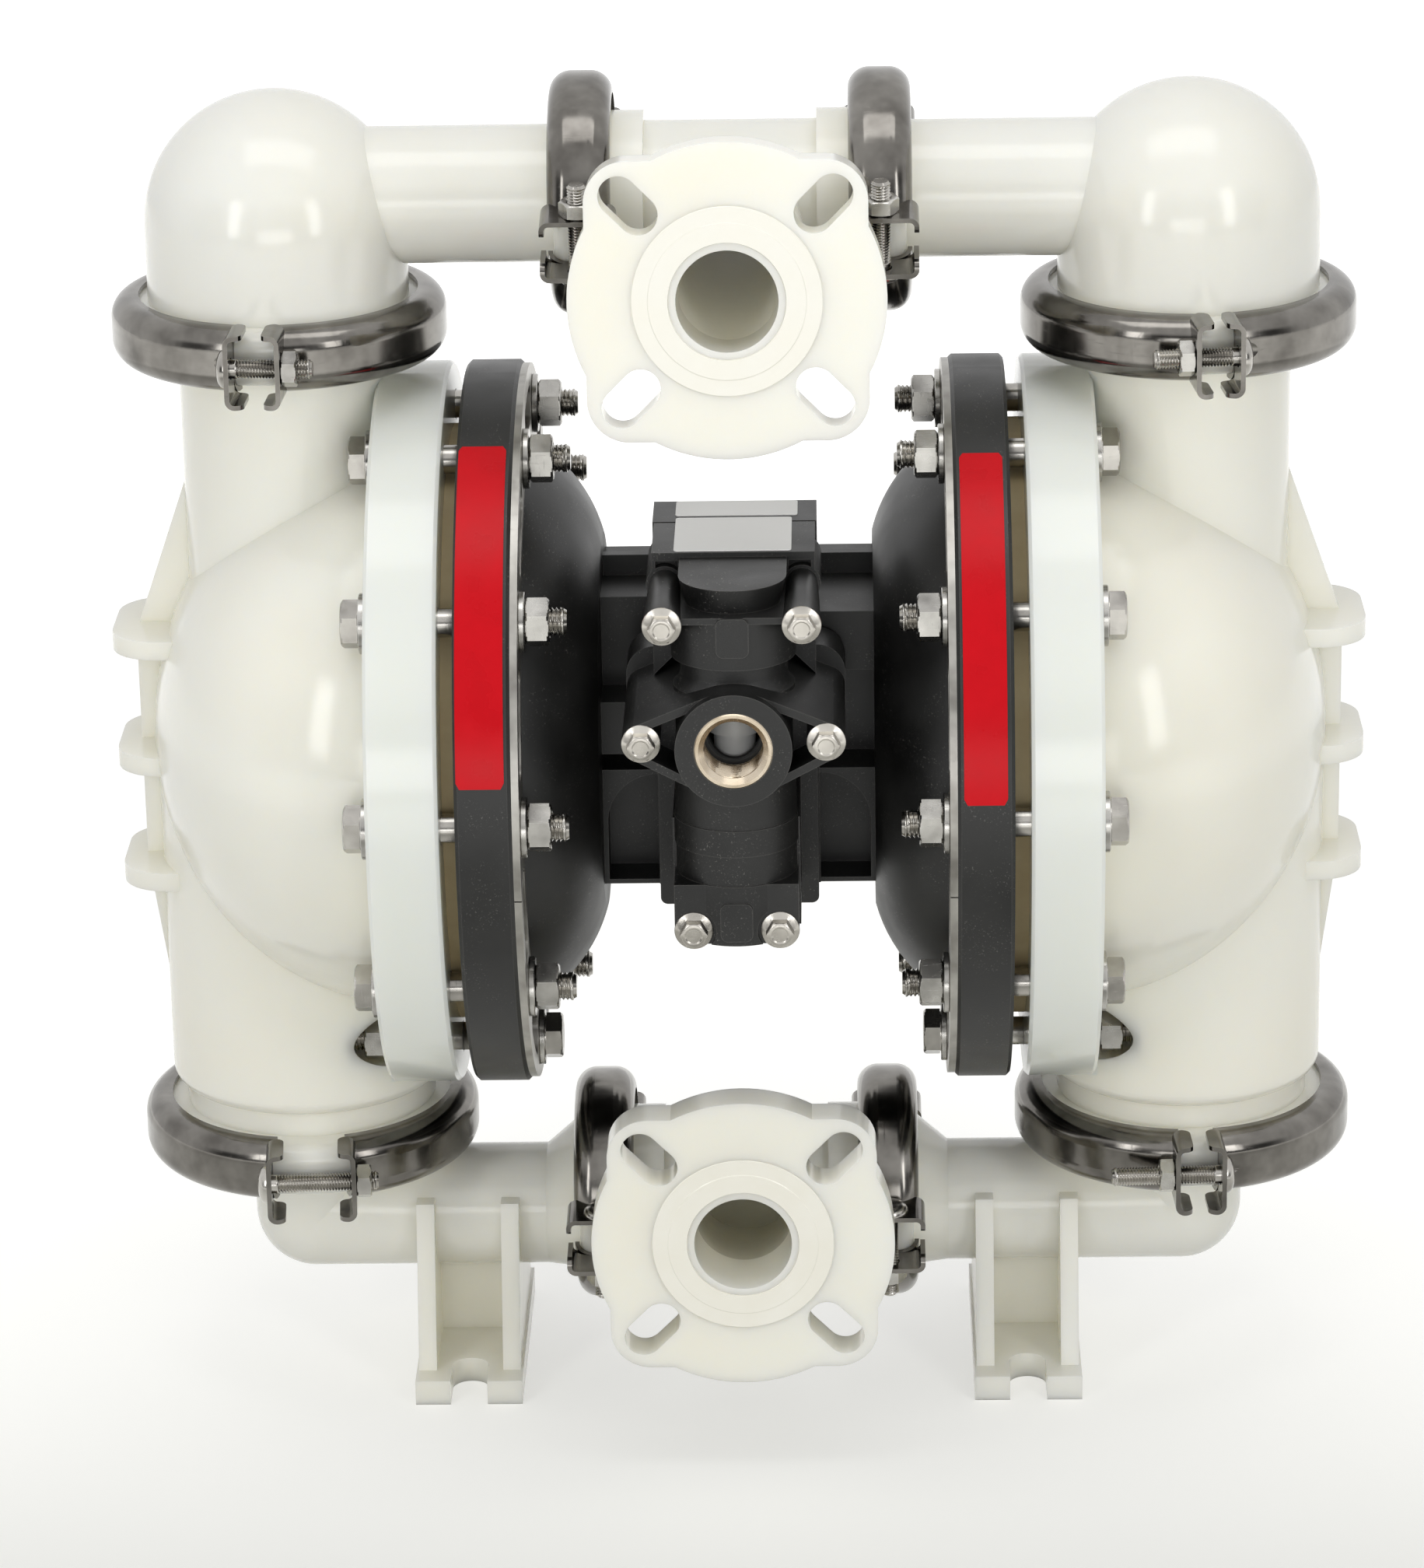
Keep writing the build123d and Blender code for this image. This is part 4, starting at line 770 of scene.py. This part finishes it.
# Silencer on the rear of the centre block: stem, hexagon collar and a ribbed porous can
silencer = {
    "stem": 12.0, "stemEdge": 1.0, "clear": 0.05, "collarFlats": 34.0, "collar": 8.0, "can": 23.9,
    "shoulder": ((0.1, 1.5), (1.6, 0.0)),            # rise, and how far inside the can's radius
    "grooves": 9, "grooveInset": 3.0, "groove": 1.6,
    "grooveShape": ((0.25, 0.0), (0.32, 1.0), (0.68, 1.0), (0.75, 0.0)),     # shares of pitch and depth
    "crown": ((1.6, 0.0), (0.5, 0.8), (0.0, 2.4)),   # short of the end, and how far inside the can's radius
    "dish": ((0.0, 0.62), (1.4, 0.58), (1.4, 0.1)),  # short of the end, and share of the can's radius
    "samples": 48,
}


def makeSilencer():
    size = silencer
    samples = size["samples"]
    can = size["can"]
    middle, length = frontOf("exhaust_muffler")
    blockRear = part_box("centre_block")[1].y
    face = (blockRear - middle.y) / mm + size["clear"]
    start = face + size["collar"]
    rings = [ringAt(0.0, size["stem"] - size["stemEdge"], samples),
             ringAt(size["stemEdge"], size["stem"], samples), ringAt(face, size["stem"], samples)]
    rings += chamferRings(size["collarFlats"], face, False, samples)
    rings.append(ringAt(start, hexRadius(size["collarFlats"]), samples))
    rings += [ringAt(start + rise, can - inset, samples) for rise, inset in size["shoulder"]]
    pitch = (length - start - 2 * size["grooveInset"]) / size["grooves"]
    for groove in range(size["grooves"]):
        here = start + size["grooveInset"] + pitch * groove
        rings += [ringAt(here + pitch * share, can - size["groove"] * deep, samples)
                  for share, deep in size["grooveShape"]]
    rings += [ringAt(length - drop, can - inset, samples) for drop, inset in size["crown"]]
    rings += [ringAt(length - drop, can * share, samples) for drop, share in size["dish"]]
    skin = skinRings(placeRings(rings, frameAlong((0, 1, 0), (1, 0, 0)), middle))
    piece = makePiece("silencerCan", *skin, "porousGrey", "pump")
    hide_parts("exhaust_muffler")


makeInletLiner()
makeSilencer()
print("inlet liner and silencer made")


# Diaphragms: each is made in sectors, with a fold between the clamped rim and the moving plates
diaphragm = {
    "hole": 14.0, "foldStart": 74.0, "foldEnd": 106.0, "edge": 127.0, "crest": 12.0, "rodHeight": 294.0,
    "plateSteps": 8, "foldSteps": 20, "rimSteps": 5, "sectors": 8, "angleSteps": 8,
    "bendStart": 97.9, "bendEnd": 74.0, "layers": {"main": (116.4, 119.8), "backup": (113.2, 116.4)},
}


def foldRise(radius):
    # circular fold through its two ends and its crest
    size = diaphragm
    half = (size["foldEnd"] - size["foldStart"]) / 2
    middle = (size["foldEnd"] + size["foldStart"]) / 2
    if abs(radius - middle) >= half:
        return 0.0
    curve = (half * half + size["crest"] ** 2) / (2 * size["crest"])
    return math.sqrt(max(0.0, curve * curve - (radius - middle) ** 2)) - (curve - size["crest"])


def diaphragmRadii():
    size = diaphragm
    radii = []
    for start, end, steps in ((size["hole"], size["foldStart"], size["plateSteps"]),
                              (size["foldStart"], size["foldEnd"], size["foldSteps"]),
                              (size["foldEnd"], size["edge"], size["rimSteps"])):
        radii += [start + (end - start) * step / steps for step in range(steps)]
    return radii + [size["edge"]]


def onDiaphragm(side, across, radius, turn):
    return (side * across * mm, radius * math.cos(turn) * mm,
            (diaphragm["rodHeight"] + radius * math.sin(turn)) * mm)


def diaphragmSector(side, near, far, middleTurn):
    size = diaphragm
    radii = diaphragmRadii()
    outline = [(near + foldRise(radius), radius) for radius in radii]
    outline += [(far + foldRise(radius), radius) for radius in reversed(radii)]
    width = 2 * math.pi / size["sectors"]
    rings = []
    for step in range(size["angleSteps"] + 1):
        turn = middleTurn - width / 2 + width * step / size["angleSteps"]
        rings.append([onDiaphragm(side, across, radius, turn) for across, radius in outline])
    return skinRings(rings)


def makeDiaphragms():
    size = diaphragm
    for layer, (near, far) in size["layers"].items():
        for sideName, side in (("right", 1), ("left", -1)):
            for sector in range(size["sectors"]):
                turn = 2 * math.pi * sector / size["sectors"]
                name = f"{layer}Diaphragm_{sideName}_{sector + 1}"
                piece = makePiece(name, *diaphragmSector(side, near, far, turn), "tanElastomer", None)
                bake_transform(piece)
                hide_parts(f"{layer}_diaphragm_{sideName}")


makeDiaphragms()
print("diaphragms made")


# The spot face of one bolt a side opens into the column's bore; this plate closes the wall behind it.
# Radii from the column's axis, heights, and degrees from the outward side by way of the front
columnBack = {"axis": 189.7, "inner": 37.05, "outer": 39.0, "low": 146.0, "high": 186.0, "from": 100.0,
              "to": 172.0, "steps": 24}


def makeColumnBacks():
    size = columnBack
    corners = ((size["inner"], size["low"]), (size["outer"], size["low"]), (size["outer"], size["high"]),
               (size["inner"], size["high"]))
    for name, side in (("right", 1), ("left", -1)):
        rings = []
        for step in range(size["steps"] + 1):
            turn = math.radians(size["from"] + (size["to"] - size["from"]) * step / size["steps"])
            rings.append([Vector((side * (size["axis"] + radius * math.cos(turn)) * mm,
                                  -radius * math.sin(turn) * mm, height * mm)) for radius, height in corners])
        piece = makePiece(f"columnBack_{name}", *skinRings(rings), "milk", "pump")


# Low rings moulded round the bores of the two port faces: radius and height of each edge,
# how deep they reach into the face, and where each face lies and points
flangeRings = {
    "profile": ((23.4, 0.0), (23.6, 0.55), (31.3, 0.55), (31.7, 0.28), (37.8, 0.28), (38.1, 0.0)),
    "sink": 0.3,
    "smoothAngle": 24,
    "samples": 96,
    "faces": {"discharge": ((0.0, -128.409, 511.826), (0.0, -0.995562, 0.0941083)),
              "suction": ((0.0, -126.6, 104.4), (0.0, -1.0, 0.0))},
}


def makeFlangeRings():
    size = flangeRings
    edges = size["profile"]
    outline = [(edges[-1][0], -size["sink"]), *reversed(edges), (edges[0][0], -size["sink"])]
    rings = [ringAt(height, radius, size["samples"]) for radius, height in outline]
    for name, (middle, outward) in size["faces"].items():
        skin = skinRings(placeRings(rings, frameAlong(outward, (1, 0, 0)), Vector(middle) * mm), wrap=True)
        piece = makePiece(f"flangeRing_{name}", *skin, "milkRings", "pump", smoothAngle=size["smoothAngle"])


makeColumnBacks()
makeFlangeRings()
print("column backs and flange rings made")


# Blank strips on the two black rims: across the rim, and from and to the angle above the front
rimStrips = {
    "radius": 154.0, "rodHeight": 294.0, "thickness": 0.25, "clear": 0.02, "corner": 1.4, "steps": 60,
    "strips": {"left": (-112.2, -92.7, 8.45, 65.6), "right": (92.6, 110.2, 5.2, 62.8)},
}
# Blank plates on top of the valve: left, right, front and rear edge
topPlates = {
    "height": 397.0, "thickness": 0.5, "clear": 0.02, "corner": 1.5, "bevel": 0.1, "bevelHeight": 0.08,
    "plates": {"rear": (-24.6, 26.1, -42.7, -22.6), "front": (-24.3, 23.8, -91.5, -46.0)},
}


def cornerInset(corner, near):
    # how far a rounded end is drawn in at a distance from its tip
    if near >= corner:
        return 0.0
    return corner - math.sqrt(max(0.0, corner ** 2 - (corner - near) ** 2))


def makeRimStrips():
    size = rimStrips
    radius = size["radius"]

    def onRim(x, turn, lift):
        out = radius + lift
        return Vector((x * mm, -out * math.cos(turn) * mm, (size["rodHeight"] + out * math.sin(turn)) * mm))

    for name, (left, right, low, high) in size["strips"].items():
        start = math.radians(low) * radius
        end = math.radians(high) * radius
        rings = []
        for step in range(size["steps"] + 1):
            here = start + (end - start) * step / size["steps"]
            inset = cornerInset(size["corner"], min(here - start, end - here))
            turn = here / radius
            rings.append([onRim(left + inset, turn, size["clear"]), onRim(right - inset, turn, size["clear"]),
                          onRim(right - inset, turn, size["thickness"]),
                          onRim(left + inset, turn, size["thickness"])])
        piece = makePiece(f"rimStrip_{name}", *skinRings(rings), "stripRed", "pump")


def roundedRing(left, right, front, rear, corner, height, perCorner=5):
    points = []
    for x, y, start in ((right - corner, rear - corner, 0), (left + corner, rear - corner, 90),
                        (left + corner, front + corner, 180), (right - corner, front + corner, 270)):
        for step in range(perCorner + 1):
            turn = math.radians(start + 90 * step / perCorner)
            points.append(Vector(((x + corner * math.cos(turn)) * mm, (y + corner * math.sin(turn)) * mm,
                                  height * mm)))
    return points


def makeTopPlates():
    size = topPlates
    top = size["height"] + size["thickness"]
    cut = size["bevel"]
    for name, (left, right, front, rear) in size["plates"].items():
        rings = [roundedRing(left, right, front, rear, size["corner"], height)
                 for height in (size["height"] + size["clear"], top - size["bevelHeight"])]
        rings.append(roundedRing(left + cut, right - cut, front + cut, rear - cut, size["corner"] - cut, top))
        piece = makePiece(f"topPlate_{name}", *skinRings(rings), "plateWhite", "pump")


makeRimStrips()
makeTopPlates()
print("blank strips and plates made")


# Stage: the floor, and the room that the sky stands for. Lift is the glow that turns the floor white to the
# rear, fade the distance at which it is all white; the dark room is where reflections look ahead and below
stage = {
    "floorSize": 6.0,
    "paper": {"Base Color": colour(206, 206, 201), "Roughness": 0.9, "Specular IOR Level": 0.1},
    "lift": (-0.68, 0.25),
    "liftFull": 0.64,
    "fade": (0.75, 1.35),
    "skyLight": 0.57,
    "darkRoom": 0.10,
    "darkAhead": (-0.10, -0.60),
    "darkBelow": (0.55, 0.20),
}


def makeFloor():
    mesh = bpy.data.meshes.new("studioFloor")
    half = stage["floorSize"] / 2
    corners = [(-half, -half, 0), (half, -half, 0), (half, half, 0), (-half, half, 0)]
    mesh.from_pydata(corners, [], [(0, 1, 2, 3)])
    floor = bpy.data.objects.new("studioFloor", mesh)
    bpy.context.scene.collection.objects.link(floor)
    material, tree, shader = startMaterial("studioPaper", stage["paper"])
    # the paper is lit more and more towards the back, as a sweep is, and fades into the room far away
    place = addNode(tree, "ShaderNodeSeparateXYZ", {0: objectPlace(tree)}).outputs
    lift = mapRange(tree, place["Y"], *stage["lift"], toHigh=stage["liftFull"])
    fade = mapRange(tree, distanceOf(tree, place["X"], place["Y"]), *stage["fade"])
    lift = maths(tree, "MAXIMUM", lift, fade)
    ray = addNode(tree, "ShaderNodeLightPath").outputs
    seen = maths(tree, "MAXIMUM", ray["Is Camera Ray"], ray["Is Glossy Ray"])
    seen = maths(tree, "MAXIMUM", seen, ray["Is Transmission Ray"])
    strength = maths(tree, "MULTIPLY", seen, lift)
    glow = addNode(tree, "ShaderNodeEmission", {"Color": (1, 1, 1, 1), "Strength": strength})
    both = addNode(tree, "ShaderNodeAddShader", {0: shader.outputs[0], 1: glow.outputs[0]})
    tree.links.new(both.outputs[0], tree.nodes["Material Output"].inputs["Surface"])
    mesh.materials.append(material)


def makeSky():
    world = bpy.data.worlds.new("studioSky")
    bpy.context.scene.world = world
    world.use_nodes = True
    tree = world.node_tree
    back = tree.nodes["Background"]
    back.inputs["Color"].default_value = (1, 1, 1, 1)
    ray = addNode(tree, "ShaderNodeLightPath").outputs
    # reflections show a white room behind and above, and an unlit one low down in front
    generated = addNode(tree, "ShaderNodeTexCoord").outputs["Generated"]
    towards = addNode(tree, "ShaderNodeSeparateXYZ", {0: generated}).outputs
    dark = maths(tree, "MULTIPLY", mapRange(tree, towards["Y"], *stage["darkAhead"]),
                 mapRange(tree, towards["Z"], *stage["darkBelow"]))
    mirrored = mapRange(tree, dark, 0.0, 1.0, 1.0, stage["darkRoom"])
    seen = maths(tree, "MAXIMUM", ray["Is Camera Ray"], ray["Is Transmission Ray"])
    strength = mapRange(tree, seen, 0.0, 1.0, stage["skyLight"], 1.0, smooth=False)
    extra = maths(tree, "SUBTRACT", mirrored, stage["skyLight"])
    glossy = maths(tree, "MULTIPLY", ray["Is Glossy Ray"], extra)
    tree.links.new(maths(tree, "ADD", strength, glossy), back.inputs["Strength"])


# Each lamp: place, the point it faces, width, height, watts
lamps = {
    "overheadBox": ((0.0, -0.35, 1.80), (0.0, 0.0, 0.25), 1.3, 0.6, 5.0),
    "leftBox": ((-1.25, -1.75, 0.95), (0.0, 0.0, 0.28), 0.40, 1.1, 7.0),
    "rightBox": ((1.25, -1.70, 0.95), (0.0, 0.0, 0.28), 0.40, 1.1, 7.0),
    "frontBox": ((0.0, -2.30, 0.45), (0.0, 0.0, 0.25), 1.2, 0.5, 5.8),
}


def makeLamps():
    for name, (place, target, width, height, watts) in lamps.items():
        lamp = bpy.data.lights.new(name, "AREA")
        lamp.shape = "RECTANGLE"
        lamp.size = width
        lamp.size_y = height
        lamp.energy = watts
        item = bpy.data.objects.new(name, lamp)
        item.location = place
        item.rotation_euler = (Vector(target) - Vector(place)).to_track_quat("-Z", "Y").to_euler()
        bpy.context.scene.collection.objects.link(item)


# Camera fitted to the photograph's frame of 1831 by 2016
view = {
    "place": (0.0451, -2.4412, 1.1333),
    "yaw": -1.35,
    "pitch": 19.60,
    "roll": -1.06,
    "focalPixels": 7765.7,
    "frameHeight": 2016,
    "sensorHeight": 24.0,
}


def makeCamera():
    yaw, pitch, roll = (math.radians(view[key]) for key in ("yaw", "pitch", "roll"))
    ahead = Vector((math.sin(yaw) * math.cos(pitch), math.cos(yaw) * math.cos(pitch), -math.sin(pitch)))
    level = Vector((math.cos(yaw), -math.sin(yaw), 0.0))
    upright = level.cross(ahead)
    right = level * math.cos(roll) + upright * math.sin(roll)
    up = upright * math.cos(roll) - level * math.sin(roll)
    camera = bpy.data.cameras.new("photoCamera")
    camera.sensor_fit = "VERTICAL"
    camera.sensor_height = view["sensorHeight"]
    camera.lens = view["focalPixels"] / view["frameHeight"] * view["sensorHeight"]
    item = bpy.data.objects.new("photoCamera", camera)
    item.matrix_world = Matrix.Translation(view["place"]) @ Matrix((right, up, -ahead)).transposed().to_4x4()
    bpy.context.scene.collection.objects.link(item)
    bpy.context.scene.camera = item


makeFloor()
makeSky()
makeLamps()
makeCamera()
bpy.context.scene.view_settings.view_transform = "Standard"
print("stage, lamps and camera made")
